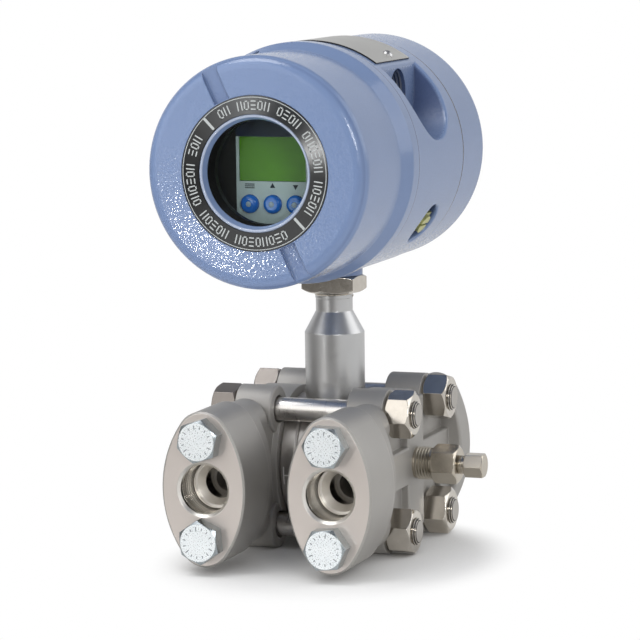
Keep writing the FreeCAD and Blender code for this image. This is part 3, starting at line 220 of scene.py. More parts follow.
def add_bar(shape, size, place):
    """A thin flat bar of the given size about a place, its four corners rounded off."""
    made = bmesh.ops.create_cube(shape, size=1.0)
    bmesh.ops.scale(shape, vec=size, verts=made["verts"])
    rounded = [
        edge for edge in {edge for corner in made["verts"] for edge in corner.link_edges}
        if abs(edge.verts[0].co.y - edge.verts[1].co.y) > size[1] / 2]
    around = min(size[0], size[2]) * BAR_CORNER
    made_round = bmesh.ops.bevel(
        shape, geom=rounded, offset=around, affect="EDGES", segments=2, profile=0.5, material=-1)
    corners = {corner for face in made_round["faces"] for corner in face.verts}
    corners |= {corner for corner in made["verts"] if corner.is_valid}
    bmesh.ops.transform(shape, matrix=place, verts=list(corners))


def add_piece(name, shape, material, body):
    """Makes a bmesh, in millimetres about the port centre, a closed smooth piece that rides on a body."""
    bmesh.ops.remove_doubles(shape, verts=shape.verts, dist=MERGE_GAP)
    bmesh.ops.recalc_face_normals(shape, faces=shape.faces)
    placed = Matrix.Translation(PORT_CENTRE) @ Matrix.Scale(MM, 4)
    bmesh.ops.transform(shape, matrix=placed, verts=shape.verts)
    mesh = bpy.data.meshes.new(name)
    shape.to_mesh(mesh)
    shape.free()
    mesh.shade_smooth()
    mesh.set_sharp_from_angle(angle=SHARP_ANGLE)
    mesh.materials.append(material)
    piece = bpy.data.objects.new(name, mesh)
    bpy.context.scene.collection.objects.link(piece)
    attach(piece, body)


def on_capsule(x, angle):
    """A place on the capsule's skin, so many degrees above its front."""
    return Matrix.Rotation(-math.radians(angle), 4, "X") @ Matrix.Translation((x, -SCRIBE_RADIUS, 0))


scribed = moulded("scribed_steel", (0.92, 0.90, 0.87), roughness=0.5, texture=0.2, depth=0.004)
scribe = bmesh.new()
first, last = SCRIBE_ARC
step = (last - first) / SCRIBE_STEPS
length = SCRIBE_RADIUS * math.radians(abs(step)) + SCRIBE_LAP
for index in range(SCRIBE_STEPS):
    at = on_capsule(SCRIBE_X, first + (index + 0.5) * step)
    add_bar(scribe, (SCRIBE_WIDTH, SCRIBE_THICK, length), at)
angle, length = SCRIBE_BAR
add_bar(scribe, (length, SCRIBE_THICK, SCRIBE_WIDTH), on_capsule(SCRIBE_X + length / 2, angle))
add_piece("capsule_mark", scribe, scribed, "sensor")


# Flanges
# Two stainless castings with stud bosses, a web and an oval plate at each end, blasted to an even dull
# grey. The studs pull them against the capsule, over a white gasket.
cast_steel = steel(
    "cast_steel", (0.38, 0.365, 0.345), (0.45, 0.435, 0.41), roughness=0.55, blotch=14.0, fine=0.3,
    depth=0.03, edge=0.6, worn=1.12, metal=0.5)
seal_white = moulded("seal_white", (0.72, 0.71, 0.67), roughness=0.5, texture=0.3, depth=0.01)
for side in ("right", "left"):
    dress("flange_" + side, cast_steel)
    dress("flange_gasket_" + side, seal_white)


# Studs and nuts
# Four polished studs pass beside the capsule, with a cold formed nut at each threaded end. The right nuts
# are nickel bright, the left ones darker and duller, and each stays at the angle that the wrench left it.
STUD_RADIUS = 5.55
STUD_END = 1.5
STUD_END_BLEND = 0.2
STUD_FLAT = (4.3, 4.6)
# Each crest has three corners, by radius and by depth below the tip.
STUD_CRESTS = (((5.5, 1.45), (5.85, 1.2), (5.5, 0.95)), ((5.2, 0.75), (5.25, 0.2), (4.7, 0.25)))
STUD_RING_STEPS = 32
STUD_SHANK = ((0.70, 0.675, 0.645), (0.78, 0.755, 0.725))
STUD_EDGE = (1.0, 0.98, 0.94)
STUD_END_TONE = (0.47, 0.445, 0.41)
# Painted shade: dark rings in the thread roots on the stud ends.
STUD_ROOT_SHADE = (0.09, 0.085, 0.08)
STUD_ROUGH = 0.30
STUD_END_DULL = 0.12
TO_RIGHT = Matrix.Rotation(math.radians(90), 4, "Y")
TO_LEFT = Matrix.Rotation(math.radians(-90), 4, "Y")
stud_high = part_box("flange_studs")[1]
STUD_TIP = (stud_high.x - PORT_CENTRE.x) / MM
STUD_AT = (stud_high.y - PORT_CENTRE.y) / MM - STUD_RADIUS


def offset_from(place, point):
    """Object coordinates measured from a point, which is given in millimetres about the port centre."""
    return place.vector("SUBTRACT", [value / MM + shift for value, shift in zip(PORT_CENTRE, point)])


def distance(offset, directions):
    """The length of an offset in some directions only, such as the radius about an axis."""
    return offset.vector("MULTIPLY", directions).vector("LENGTH")


def stud_finish():
    """Polished along the shank and dull on the cut ends, with painted shade in the thread roots round them.
    """
    material, inputs, place = started("stud_steel")
    cloud = grain(place, size=7.0)
    marks = grain(place, size=0.15, stretch=(1, 20, 20))
    rim, edges = rounded_edge(place, radius=0.25)
    mirrored = offset_from(place, (0, 0, 0)).vector("ABSOLUTE")
    radius = distance(mirrored.vector("SUBTRACT", (0, STUD_AT, STUD_AT)), (0, 1, 1))
    nut_face = STUD_TIP - STUD_END
    end = mirrored.part("X").ramp(nut_face - STUD_END_BLEND, nut_face)
    tone = end.mix(edges.mix(cloud.mix(*STUD_SHANK), STUD_EDGE), STUD_END_TONE)
    (end * radius.ramp(*STUD_FLAT)).mix(tone, STUD_ROOT_SHADE).feeds(inputs["Base Color"])
    (tool_gloss(STUD_ROUGH, cloud, marks, edges) + end * STUD_END_DULL).feeds(inputs["Roughness"])
    raise_surface(inputs, marks, depth=0.004, normal=rim)
    inputs["Metallic"].default_value = 1.0
    return material


def add_ring(shape, section, steps, place):
    """A closed ring about +Z from the radius and height of its section's corners, moved to its place."""
    before = set(shape.verts)
    corners = [shape.verts.new((radius, 0, height)) for radius, height in section]
    sides = [shape.edges.new((corners[index - 1], corners[index])) for index in range(len(corners))]
    bmesh.ops.spin(
        shape, geom=corners + sides, cent=(0, 0, 0), axis=(0, 0, 1), angle=math.tau, steps=steps,
        use_merge=True)
    ring = [corner for corner in shape.verts if corner not in before]
    bmesh.ops.transform(shape, matrix=place, verts=ring)


nut_steel = steel(
    "nut_steel", (0.54, 0.50, 0.44), (0.66, 0.62, 0.56), roughness=0.17, blotch=3.0, fine=0.5,
    depth=0.006, edge=0.5, worn=1.3)
dull_nut_steel = steel(
    "dull_nut_steel", (0.26, 0.235, 0.215), (0.34, 0.31, 0.285), roughness=0.48, blotch=5.0, fine=0.5,
    depth=0.01, edge=0.5, worn=1.2)
dress("flange_studs", stud_finish())
dress("flange_nuts_right", nut_steel)
dress("flange_nuts_left", dull_nut_steel)
stud_threads = bmesh.new()
for outward in (TO_RIGHT, TO_LEFT):
    for y in (-STUD_AT, STUD_AT):
        for z in (-STUD_AT, STUD_AT):
            at = Matrix.Translation((0, y, z)) @ outward
            for crest in STUD_CRESTS:
                section = [(radius, STUD_TIP - depth) for radius, depth in crest]
                add_ring(stud_threads, section, STUD_RING_STEPS, at)
add_piece("stud_threads", stud_threads, nut_steel, "sensor")


# Process adapters
# Oval steel blocks on the front of the flanges, ground flat in front and blasted round the sides, each
# with a tapped port and two bolt holes. A white seal lies behind each.
THREAD_STEPS = 36
THREAD_FLANK = 0.45
THREAD_SINK = 0.05
PORT_THREAD = (10.22, -0.25, 1.81)
PORT_THREAD_SPAN = (68.0, 83.0)
PORT_X = 27.0
PORT_REACH = (11.2, 11.5)
FRONTWARD = (0, -1, 0)
ADAPTER_SIDES = ((0.39, 0.375, 0.355), (0.46, 0.445, 0.42))
ADAPTER_FACE = ((0.60, 0.548, 0.508), (0.68, 0.625, 0.585))
ADAPTER_EDGE = (0.80, 0.77, 0.72)
BORE_TONE = (0.82, 0.79, 0.74)
FACE_TURN = (0.9, 0.99)
MOUTH_TURN = (0.3, 0.6)
BLAST_ROUGH = 0.55
GROUND_POLISH = 0.12
BORE_ROUGH = 0.15
MOUTH_ROUGH = 0.22
BLAST_METAL = 0.75
GROUND_METAL = 0.15
BORE_METAL = 0.25
TO_FRONT = Matrix.Rotation(math.radians(90), 4, "X")


def ground_steel():
    """Blasted on the sides, ground paler on the flat front with fine straight marks, bright in the port."""
    material, inputs, place = started("adapter_steel")
    cloud = grain(place, size=16.0)
    blast = grain(place, size=0.3)
    ground = grain(place, size=0.25, stretch=(30, 1, 1))
    rim, edges = rounded_edge(place, radius=0.5)
    toward = facing(place, FRONTWARD)
    front = toward.ramp(*FACE_TURN)
    mouth = toward.ramp(*MOUTH_TURN)
    mirrored = offset_from(place, (0, 0, 0)).vector("ABSOLUTE")
    radius = distance(mirrored.vector("SUBTRACT", (PORT_X, 0, 0)), (1, 0, 1))
    bore = 1 - radius.ramp(*PORT_REACH)
    tone = bore.mix(front.mix(cloud.mix(*ADAPTER_SIDES), cloud.mix(*ADAPTER_FACE)), BORE_TONE)
    edges.mix(tone, ADAPTER_EDGE).feeds(inputs["Base Color"])
    blasted = BLAST_ROUGH - front * GROUND_POLISH + (cloud - 0.5) * CLOUD_SWING - edges * GROUND_POLISH
    (blasted + bore * (BORE_ROUGH + mouth * MOUTH_ROUGH - blasted)).feeds(inputs["Roughness"])
    height = (blast + front * (ground - blast)) * (1 - bore)
    raise_surface(inputs, height, depth=0.018, normal=rim)
    (BLAST_METAL + front * GROUND_METAL + bore * BORE_METAL * (1 - front)).feeds(inputs["Metallic"])
    return material


def wind_thread(shape, size, start, end, place):
    """A ridge that climbs round +Z in an empty bmesh, moved to its place: size is radius, depth, pitch."""
    radius, depth, pitch = size
    flank = pitch * THREAD_FLANK
    root = radius - math.copysign(THREAD_SINK, depth)
    section = [(root, 0, start), (radius + depth, 0, start + flank), (root, 0, start + 2 * flank)]
    corners = [shape.verts.new(point) for point in section]
    face = shape.faces.new(corners)
    turns = (end - start - 2 * flank) / pitch
    steps = round(turns * THREAD_STEPS)
    bmesh.ops.spin(
        shape, geom=[face, *face.edges, *corners], cent=(0, 0, 0), axis=(0, 0, 1),
        dvec=(0, 0, turns * pitch / steps), angle=math.tau * turns, steps=steps, use_duplicate=False)
    bmesh.ops.transform(shape, matrix=place, verts=shape.verts)


adapter_steel = ground_steel()
tapped_steel = steel(
    "tapped_steel", (0.70, 0.67, 0.62), (0.80, 0.77, 0.72), roughness=0.18, blotch=9.0, fine=0.2,
    stretch=(20, 1, 20), depth=0.002, edge=0.2, worn=1.2)
for side, sign in (("right", 1), ("left", -1)):
    dress("adapter_" + side, adapter_steel)
    dress("adapter_seal_" + side, seal_white)
    port = bmesh.new()
    at = Matrix.Translation((sign * PORT_X, 0, 0)) @ TO_FRONT
    wind_thread(port, PORT_THREAD, *PORT_THREAD_SPAN, at)
    add_piece("port_thread_" + side, port, tapped_steel, "sensor")


# Adapter bolts
# Zinc plated hexagon bolts, two in each adapter. Their round tops catch the light and carry a ring of
# fine stamped ticks.
BOLT_RISE = 20.65
BOLT_TOP = 91.1
TICK_COUNT = 15
TICK_WIDTH = 0.38
TICK_THICK = 0.03
TICK_LENGTH = 1.1
LONG_TICK = 1.7
LONG_TICK_EVERY = 5
TICK_RADIUS = 5.9
TICK_SHIFT = 0.3
# Painted light: the round tops are painted lighter, the chamfers and sides darker.
ZINC_SHADED_SIDES = ((0.30, 0.33, 0.34), (0.42, 0.46, 0.48))
ZINC_LIT_TOP = ((0.78, 0.83, 0.85), (0.92, 0.95, 0.96))
ZINC_EDGE = (0.62, 0.66, 0.68)
ZINC_TOP_TURN = (0.9, 0.97)
ZINC_ROUGH = 0.30
FROST_SWING = 0.3
FILM_SHARE = 0.4


def zinc():
    """Bright zinc: a frosted blue white film, with painted light: the round top lighter, the chamfer and
    sides darker.
    """
    material, inputs, place = started("zinc_plate")
    cloud = grain(place, size=4.0)
    frost = grain(place, size=0.5, detail=3.0)
    rim, edges = rounded_edge(place, radius=0.35)
    top = facing(place, FRONTWARD).ramp(*ZINC_TOP_TURN)
    tone = top.mix(cloud.mix(*ZINC_SHADED_SIDES), cloud.mix(*ZINC_LIT_TOP))
    (edges * (1 - top)).mix(tone, ZINC_EDGE).feeds(inputs["Base Color"])
    (ZINC_ROUGH + (frost - 0.5) * FROST_SWING).feeds(inputs["Roughness"])
    raise_surface(inputs, frost, depth=0.015, normal=rim)
    (1 - top * FILM_SHARE).feeds(inputs["Metallic"])
    return material


zinc_plate = zinc()
tick_grey = moulded("tick_grey", (0.13, 0.15, 0.17), roughness=0.5, texture=0.2, depth=0.004)
for side, sign in (("right", 1), ("left", -1)):
    dress("adapter_bolts_" + side, zinc_plate)
    ticks = bmesh.new()
    for rise in (-BOLT_RISE, BOLT_RISE):
        centre = Matrix.Translation((sign * PORT_X, -BOLT_TOP, rise))
        for index in range(TICK_COUNT):
            spread = Matrix.Rotation(math.tau * (index + TICK_SHIFT * sign) / TICK_COUNT, 4, "Y")
            length = TICK_LENGTH if index % LONG_TICK_EVERY else LONG_TICK
            at = centre @ spread @ Matrix.Translation((0, 0, TICK_RADIUS))
            add_bar(ticks, (TICK_WIDTH, TICK_THICK, length), at)
    add_piece("bolt_ticks_" + side, ticks, tick_grey, "sensor")


# Vent valve and plug
# A nickel plated hexagon body on a threaded shank, with a bleed screw that holds a ball on its seat. A
# socket plug closes the same hole of the left flange.
VENT_THREAD = (6.45, 0.6, 1.25)
VENT_SHANK = (36.1, 44.0)
STEM_THREAD = (3.86, 0.22, 0.9)
STEM_COLLAR = (55.45, 57.7)
nickel = steel(
    "vent_nickel", (0.49, 0.445, 0.37), (0.57, 0.52, 0.44), roughness=0.24, blotch=12.0, fine=0.15,
    depth=0.002, edge=0.4, worn=1.3)
thread_nickel = steel(
    "thread_nickel", (0.31, 0.28, 0.23), (0.38, 0.345, 0.285), roughness=0.34, blotch=6.0, fine=0.15,
    depth=0.002, edge=0.1, worn=1.2)
for node in ("vent_body", "vent_stem", "vent_plug"):
    dress(node, nickel)
dress("vent_ball", nut_steel)
shank = bmesh.new()
wind_thread(shank, VENT_THREAD, *VENT_SHANK, TO_RIGHT)
add_piece("vent_thread", shank, thread_nickel, "sensor")
collar = bmesh.new()
wind_thread(collar, STEM_THREAD, *STEM_COLLAR, TO_RIGHT)
add_piece("stem_thread", collar, nickel, "vent_stem")


# Neck
# A turned stainless tube welded onto the capsule, coned to a threaded top. The housing screws onto it,
# over a rubber ring, and a lock nut holds it there.
NECK_THREAD = (7.95, 0.4, 1.3)
NECK_THREAD_SPAN = (69.3, 71.8)
neck_steel = steel(
    "neck_steel", (0.50, 0.50, 0.50), (0.60, 0.60, 0.595), roughness=0.36, blotch=20.0, fine=0.18,
    stretch=(40, 40, 1), depth=0.006, edge=0.4, worn=1.2)
seal_rubber = moulded("seal_rubber", (0.02, 0.02, 0.022), roughness=0.6, texture=0.3, depth=0.02)
dress("neck_tube", neck_steel)
dress("neck_seal", seal_rubber)
dress("lock_nut", nut_steel)
neck_top = bmesh.new()
wind_thread(neck_top, NECK_THREAD, *NECK_THREAD_SPAN, Matrix.Identity(4))
add_piece("neck_thread", neck_top, nut_steel, "sensor")


# Housing body
# The middle of the barrel, cast in aluminium and painted a soft blue that dried with a fine orange
# peel. Threaded cable entries open in a pocket at each side, and the covers screw onto its two ends.
AXIS_RISE = 129.2
BARREL_AXIS = (0, 0, AXIS_RISE)
ROUND_AXIS = (1, 0, 1)
ENTRY_THREAD = (10.02, -0.5, 1.5)
ENTRY_SPAN = (19.5, 30.2)
ENTRY_AT = (0, -2.8, AXIS_RISE + 26.8)
SPIGOT_THREAD = (44.0, 0.12, 2.0)
SPIGOT_SPANS = {"front": (33.2, 45.4), "rear": (-41.2, -29.0)}
FACE = -91.0
# Painted highlight: the rounded edge of the window mouth is painted paler.
LIP_EDGE = (23.45, 23.6)
LIP_DEPTH = (FACE + 0.2, FACE + 0.7)
# Painted shade on the floors of the two key slots in the face.
SLOT_START = (31.0, 31.3)
SLOT_NEAR = (FACE + 0.8, FACE + 1.6)
SLOT_FAR = (FACE + 2.1, FACE + 2.3)
SLOT_SHADE = 0.2
FRONT_SEAM = -32.7
REAR_SEAM = 28.5
SEAM_BLEND = 0.5
# Painted shadow: a dark line along each seam between a cover and the body.
SEAM_REACH = (0.8, 1.3)
FRONT_SEAM_SHARE = 0.5
BARREL_SKIN = (46.8, 48.2)
# Painted shade in the barrel's hollows: darkest on faces turned to the front and down.
SHADED_HOLLOW_SIDE = (0, -0.86, -0.51)
HOLLOW_TURN = (0.1, 0.7)
HOLLOW_LEAST = 0.45
HOLLOW_MORE = 0.55
HOLLOW_SHADE = 0.9
PAINT_TONES = ((0.165, 0.235, 0.405), (0.19, 0.265, 0.45))
PAINT_EDGE = (0.24, 0.32, 0.53)
LIP_HIGHLIGHT_TONE = (0.38, 0.44, 0.57)
HOLLOW_SHADE_TONE = (0.055, 0.085, 0.19)
SEAM_SHADOW_TONE = (0.02, 0.025, 0.045)
PAINT_ROUGH = 0.08
FLECK_EDGE = (0.44, 0.56)
FLECK_DULL = 0.18
HOLLOW_DULL = 0.34
PEEL_DEPTH = 0.036


def between(shade, rise, fall):
    """1 from the end of a rise to the start of a fall, each a pair of values, and 0 outside them."""
    return shade.ramp(*rise) * (1 - shade.ramp(*fall))


def paint():
    """Enamel over a casting: orange peel breaks its gloss, and painted shade darkens its hollows and seams.
    """
    material, inputs, place = started("housing_paint")
    cloud = grain(place, size=35.0)
    peel = grain(place, size=1.0, detail=0.0)
    fleck = grain(place, size=0.75, detail=0.0).ramp(*FLECK_EDGE)
    rim, edges = rounded_edge(place, radius=0.5)
    offset = offset_from(place, BARREL_AXIS)
    along = offset.part("Y")
    radius = distance(offset, ROUND_AXIS)
    body = between(along, (FRONT_SEAM, FRONT_SEAM + SEAM_BLEND), (REAR_SEAM - SEAM_BLEND, REAR_SEAM))
    hollow = (1 - radius.ramp(*BARREL_SKIN)) * body
    # Painted shade: the paint is darkened in the hollows, most where they face front and down.
    recess = hollow * (HOLLOW_LEAST + facing(place, SHADED_HOLLOW_SIDE).ramp(*HOLLOW_TURN) * HOLLOW_MORE)
    # Painted shade on the floors of the key slots.
    slot = between(along, SLOT_NEAR, SLOT_FAR) * radius.ramp(*SLOT_START)
    # Painted shadow lines in the seams at both ends of the body.
    rear_seam_shadow = 1 - place.math("ABSOLUTE", along - REAR_SEAM).ramp(*SEAM_REACH)
    front_seam_shadow = 1 - place.math("ABSOLUTE", along - FRONT_SEAM).ramp(*SEAM_REACH)
    # Painted highlight on the rounded edge of the window mouth.
    lip_highlight = (1 - radius.ramp(*LIP_EDGE)) * (1 - along.ramp(*LIP_DEPTH))
    tone = lip_highlight.mix(edges.mix(cloud.mix(*PAINT_TONES), PAINT_EDGE), LIP_HIGHLIGHT_TONE)
    tone = (recess * HOLLOW_SHADE + slot * SLOT_SHADE).mix(tone, HOLLOW_SHADE_TONE)
    (rear_seam_shadow + front_seam_shadow * FRONT_SEAM_SHARE).mix(tone, SEAM_SHADOW_TONE).feeds(inputs["Base Color"])
    (PAINT_ROUGH + fleck * FLECK_DULL + hollow * HOLLOW_DULL).feeds(inputs["Roughness"])
    raise_surface(inputs, peel, PEEL_DEPTH, strength=1.0, normal=rim)
    return material


housing_paint = paint()
dress("housing_body", housing_paint)
dark_thread = moulded("entry_thread", (0.06, 0.075, 0.12), roughness=0.35, texture=0.3, depth=0.01)
for side, outward in (("right", TO_RIGHT), ("left", TO_LEFT)):
    entry = bmesh.new()
    wind_thread(entry, ENTRY_THREAD, *ENTRY_SPAN, Matrix.Translation(ENTRY_AT) @ outward)
    add_piece("entry_thread_" + side, entry, dark_thread, "housing")
for end, span in SPIGOT_SPANS.items():
    spigot = bmesh.new()
    wind_thread(spigot, SPIGOT_THREAD, *span, Matrix.Translation(BARREL_AXIS) @ TO_FRONT)
    add_piece("spigot_thread_" + end, spigot, housing_paint, "housing")


# Earth terminal
# A bent saddle under a slotted screw, both of steel passivated to a pale yellow. The screw holds the
# saddle in the round recess at the side of the housing.
earth_metal = steel(
    "earth_metal", (0.40, 0.40, 0.16), (0.56, 0.56, 0.26), roughness=0.42, blotch=2.5, fine=0.4,
    depth=0.01, edge=0.25, worn=1.2, metal=0.7)
for node in ("earth_clamp", "earth_screw"):
    dress(node, earth_metal)


# Electronics and terminals
# A black potted can on the bulkhead behind the display, and a moulded strip of screw terminals in the
# rear compartment. The display's board stands in front of the can.
dark_plastic = moulded("dark_plastic", (0.012, 0.012, 0.014), roughness=0.5, texture=0.4, depth=0.02)
board_green = moulded("board_green", (0.02, 0.12, 0.05), roughness=0.4, texture=0.5, depth=0.01)
for node in ("electronics_module", "terminal_block"):
    dress(node, dark_plastic)
dress("terminal_screws", nut_steel)
dress("display_board", board_green)


# Display
# A pale faceplate in a black bezel frames a green liquid crystal panel and three blue push buttons. The
# signs above the buttons are printed: three bars, an arrow up and an arrow down.
FACEPLATE_FRONT = 70.9
FACEPLATE_TONES = ((0.56, 0.62, 0.64), (0.65, 0.71, 0.73))
FACEPLATE_ROUGH = 0.45
HEADER_RISE = (13.0, 13.3)
HEADER_TONE = (0.009, 0.022, 0.060)
CRYSTAL_TONES = ((0.085, 0.26, 0.003), (0.12, 0.34, 0.006))
CRYSTAL_ROUGH = 0.35
ROW_SCALE = 0.5
ROW_SWING = 0.06
SIGN_RISE = -6.75
SIGN_THICK = 0.06
SIGN_BAR = (4.2, SIGN_THICK, 0.4)
SIGN_BAR_STEP = 0.75
ARROW_RADIUS = 1.35
BUTTON_SPACING = 9.8
BUTTON_DROP = 13.95
BUTTON_FACE = 72.8
GLOSS_SHADE = 0.8
GLOSS_SWING = 0.08
GLOSS_COAT = 0.6
GLOSS_COAT_ROUGH = 0.04
DOT_RADIUS = 1.15
DOT_RISE = 0.22


def faceplate():
    """A pale moulded plate with a faint cloud, and darker blue above the panel."""
    material, inputs, place = started("pale_plastic")
    cloud = grain(place, MOULD_BLOTCH)
    header = offset_from(place, BARREL_AXIS).part("Z").ramp(*HEADER_RISE)
    header.mix(cloud.mix(*FACEPLATE_TONES), HEADER_TONE).feeds(inputs["Base Color"])
    (FACEPLATE_ROUGH + (cloud - 0.5) * CLOUD_SWING).feeds(inputs["Roughness"])
    return material


def crystal():
    """The panel's green film: slow streaks of tone, and the faint rows of its dots."""
    material, inputs, place = started("lcd_green")
    streak = grain(place, size=9.0, stretch=(2.5, 1, 1))
    streak.mix(*CRYSTAL_TONES).feeds(inputs["Base Color"])
    rows = place.node("TexWave", {"bands_direction": "Z"}, {"Vector": place, "Scale": ROW_SCALE})
    (CRYSTAL_ROUGH + (rows - 0.5) * ROW_SWING).feeds(inputs["Roughness"])
    return material


def gloss(name, colour, roughness):
    """A glossy moulded finish with a faint drift of tone."""
    material, inputs, place = started(name)
    cloud = grain(place, size=2.5)
    cloud.mix([value * GLOSS_SHADE for value in colour], colour).feeds(inputs["Base Color"])
    (roughness + (cloud - 0.5) * GLOSS_SWING).feeds(inputs["Roughness"])
    inputs["Coat Weight"].default_value = GLOSS_COAT
    inputs["Coat Roughness"].default_value = GLOSS_COAT_ROUGH
    return material


dress("display_bezel", dark_plastic)
dress("display_faceplate", faceplate())
dress("lcd_panel", crystal())
print_black = moulded("print_black", (0.015, 0.02, 0.035), roughness=0.5, texture=0.2, depth=0.002)
signs = bmesh.new()
sign_at = Matrix.Translation((0, -FACEPLATE_FRONT, AXIS_RISE + SIGN_RISE))
for row in (-1, 0, 1):
    lift = Matrix.Translation((-BUTTON_SPACING, 0, SIGN_BAR_STEP * row))
    add_bar(signs, SIGN_BAR, sign_at @ lift)
for step, turn in ((0, 0), (1, 180)):
    slide = Matrix.Translation((step * BUTTON_SPACING, 0, 0))
    stand = slide @ TO_FRONT @ Matrix.Rotation(math.radians(turn), 4, "Z")
    bmesh.ops.create_cone(
        signs, cap_ends=True, segments=3, radius1=ARROW_RADIUS, radius2=ARROW_RADIUS, depth=SIGN_THICK,
        matrix=sign_at @ stand)
add_piece("button_signs", signs, print_black, "housing")
button_blue = gloss("button_blue", (0.008, 0.20, 0.86), roughness=0.16)
dot_pale = gloss("dot_pale", (0.50, 0.58, 0.72), roughness=0.3)
for step, name in ((-1, "menu"), (0, "up"), (1, "down")):
    dress("button_" + name, button_blue)
    dot = bmesh.new()
    bmesh.ops.create_uvsphere(dot, u_segments=24, v_segments=12, radius=DOT_RADIUS)
    bmesh.ops.scale(dot, vec=(1, DOT_RISE / DOT_RADIUS, 1), verts=dot.verts)
    middle = (step * BUTTON_SPACING, -BUTTON_FACE, AXIS_RISE - BUTTON_DROP)
    bmesh.ops.translate(dot, vec=middle, verts=dot.verts)
    add_piece("button_dot_" + name, dot, dot_pale, "button_" + name)


# Front cover
# A deep cap of the same painted casting, screwed on over the electronics and turned by a bar in its two
# slots. A small socket screw in its band locks it, and a ring behind the window holds the glass.
GLASS_TINT = (0.90, 0.94, 0.93, 1)
SHEEN_TONE = (1, 1, 1, 1)
SHEEN_ROUGH = 0.03
GLASS_IOR = 1.32


def unshaded(name):
    """A new material without its usual shader: itself, a shade to start from, and its surface socket."""
    material = bpy.data.materials.new(name)
    material.use_nodes = True
    tree = material.node_tree
    tree.nodes.remove(tree.nodes["Principled BSDF"])
    return material, Shade(tree), tree.nodes["Material Output"].inputs["Surface"]


def clear_glass():
    """Toughened glass, coated against glare: clear with a cool tint, mirroring more when seen aslant."""
    material, root, surface = unshaded("window_glass")
    through = root.node("BsdfTransparent", {}, {"Color": GLASS_TINT})
    shine = root.node("BsdfGlossy", {}, {"Color": SHEEN_TONE, "Roughness": SHEEN_ROUGH})
    fresnel = root.node("Fresnel", {}, {"IOR": GLASS_IOR})
    root.node("MixShader", {}, {0: fresnel, 1: through, 2: shine}).feeds(surface)
    return material


dress("front_cover", housing_paint)
dress("front_cover_seal", seal_rubber)
dress("cover_lock_screw", dark_plastic)
dress("window_retainer", dark_plastic)
dress("window_glass", clear_glass())


# Legend ring
# A dark anodised ring let into the face round the window, with fine turned grooves. A pale line edges it,
# two pale bars part it, and groups of plain printed marks stand between the bars.
LEGEND_FRONT = 91.25
LEGEND_CENTRE = Matrix.Translation((0, -LEGEND_FRONT, AXIS_RISE))
LEGEND_EDGE = (30.1, 30.4)
LEGEND_STEPS = 96
LEGEND_MIDDLE = 27.1
LEGEND_BARS = (134.0, -46.0)
LEGEND_SPAN = 180.0
LEGEND_GROUPS = ((3, 6, 5, 8), (5, 6, 4, 5, 2))
MARK_STEP = 6.1
MARK_HEIGHT = 3.7
MARK_WIDTH = 2.15
MARK_STROKE = 0.5
PRINT_THICK = 0.06
PARTING_BAR = (1.1, PRINT_THICK, 6.2)
FILM_TONES = ((0.006, 0.007, 0.008), (0.016, 0.018, 0.019))
FILM_ROUGH = 0.30
FILM_IOR = 1.77
GROOVE_LEAN = 0.56


def turned_ring():
    """A satin black film over fine turned grooves, whose flanks lean outwards and catch the lamps there."""
    material, inputs, place = started("legend_grey")
    radius = distance(offset_from(place, BARREL_AXIS), ROUND_AXIS)
    cloud = grain(place, size=5.0)
    cloud.mix(*FILM_TONES).feeds(inputs["Base Color"])
    (FILM_ROUGH + (cloud - 0.5) * CLOUD_SWING).feeds(inputs["Roughness"])
    raise_surface(inputs, 0 - radius * GROOVE_LEAN, depth=1.0, strength=1.0)
    inputs["IOR"].default_value = FILM_IOR
    return material


def on_legend(angle, aside=0, rise=0):
    """A place on the ring at an angle round it, moved along the ring and outwards from its middle."""
    spread = Matrix.Rotation(math.radians(90 - angle), 4, "Y")
    return LEGEND_CENTRE @ spread @ Matrix.Translation((aside, 0, LEGEND_MIDDLE + rise))


legend_pale = moulded("legend_pale", (0.50, 0.53, 0.53), roughness=0.4, texture=0.3, depth=0.004)
dress("legend_ring", turned_ring())
legend = bmesh.new()
inner, outer = LEGEND_EDGE
edge_line = [(inner, 0), (outer, 0), (outer, PRINT_THICK / 2), (inner, PRINT_THICK / 2)]
add_ring(legend, edge_line, LEGEND_STEPS, LEGEND_CENTRE @ TO_FRONT)
upright = (MARK_STROKE, PRINT_THICK, MARK_HEIGHT)
level = (MARK_WIDTH, PRINT_THICK, MARK_STROKE)
half_width = (MARK_WIDTH - MARK_STROKE) / 2
half_height = (MARK_HEIGHT - MARK_STROKE) / 2
pair = [(upright, -half_width, 0), (upright, half_width, 0)]
box_mark = pair + [(level, 0, -half_height), (level, 0, half_height)]
stack = [(level, 0, -half_height), (level, 0, 0), (level, 0, half_height)]
gap = []
mark_cycle = (pair, box_mark, stack, box_mark)
for start, groups in zip(LEGEND_BARS, LEGEND_GROUPS):
    marks = [gap]
    for count in groups:
        marks += [mark_cycle[index % len(mark_cycle)] for index in range(count)] + [gap]
    add_bar(legend, PARTING_BAR, on_legend(start))
    for index, strokes in enumerate(marks):
        angle = start + LEGEND_SPAN / 2 + (index - (len(marks) - 1) / 2) * MARK_STEP
        for size, aside, rise in strokes:
            add_bar(legend, size, on_legend(angle, aside, rise))
add_piece("legend_print", legend, legend_pale, "front_cover")


# Rear cover
# A blind cap over the terminals, cast and painted like the rest of the barrel. It screws onto the rear
# spigot over a rubber ring and is turned by a bar in its slots.
dress("rear_cover", housing_paint)
dress("rear_cover_seal", seal_rubber)


# Nameplate
# A bare brushed steel plate bent over the top of the barrel, its edges near black, with a round head
# drive screw at each end.
PLATE_TONES = ((0.65, 0.64, 0.605), (0.74, 0.73, 0.69))
PLATE_EDGE_TONE = (0.035, 0.035, 0.04)
PLATE_FACE_TURN = (0.4, 0.7)
PLATE_ROUGH = 0.50
PLATE_SWING = 0.1
BRUSH_SWING = 0.15
PLATE_METAL = 0.9


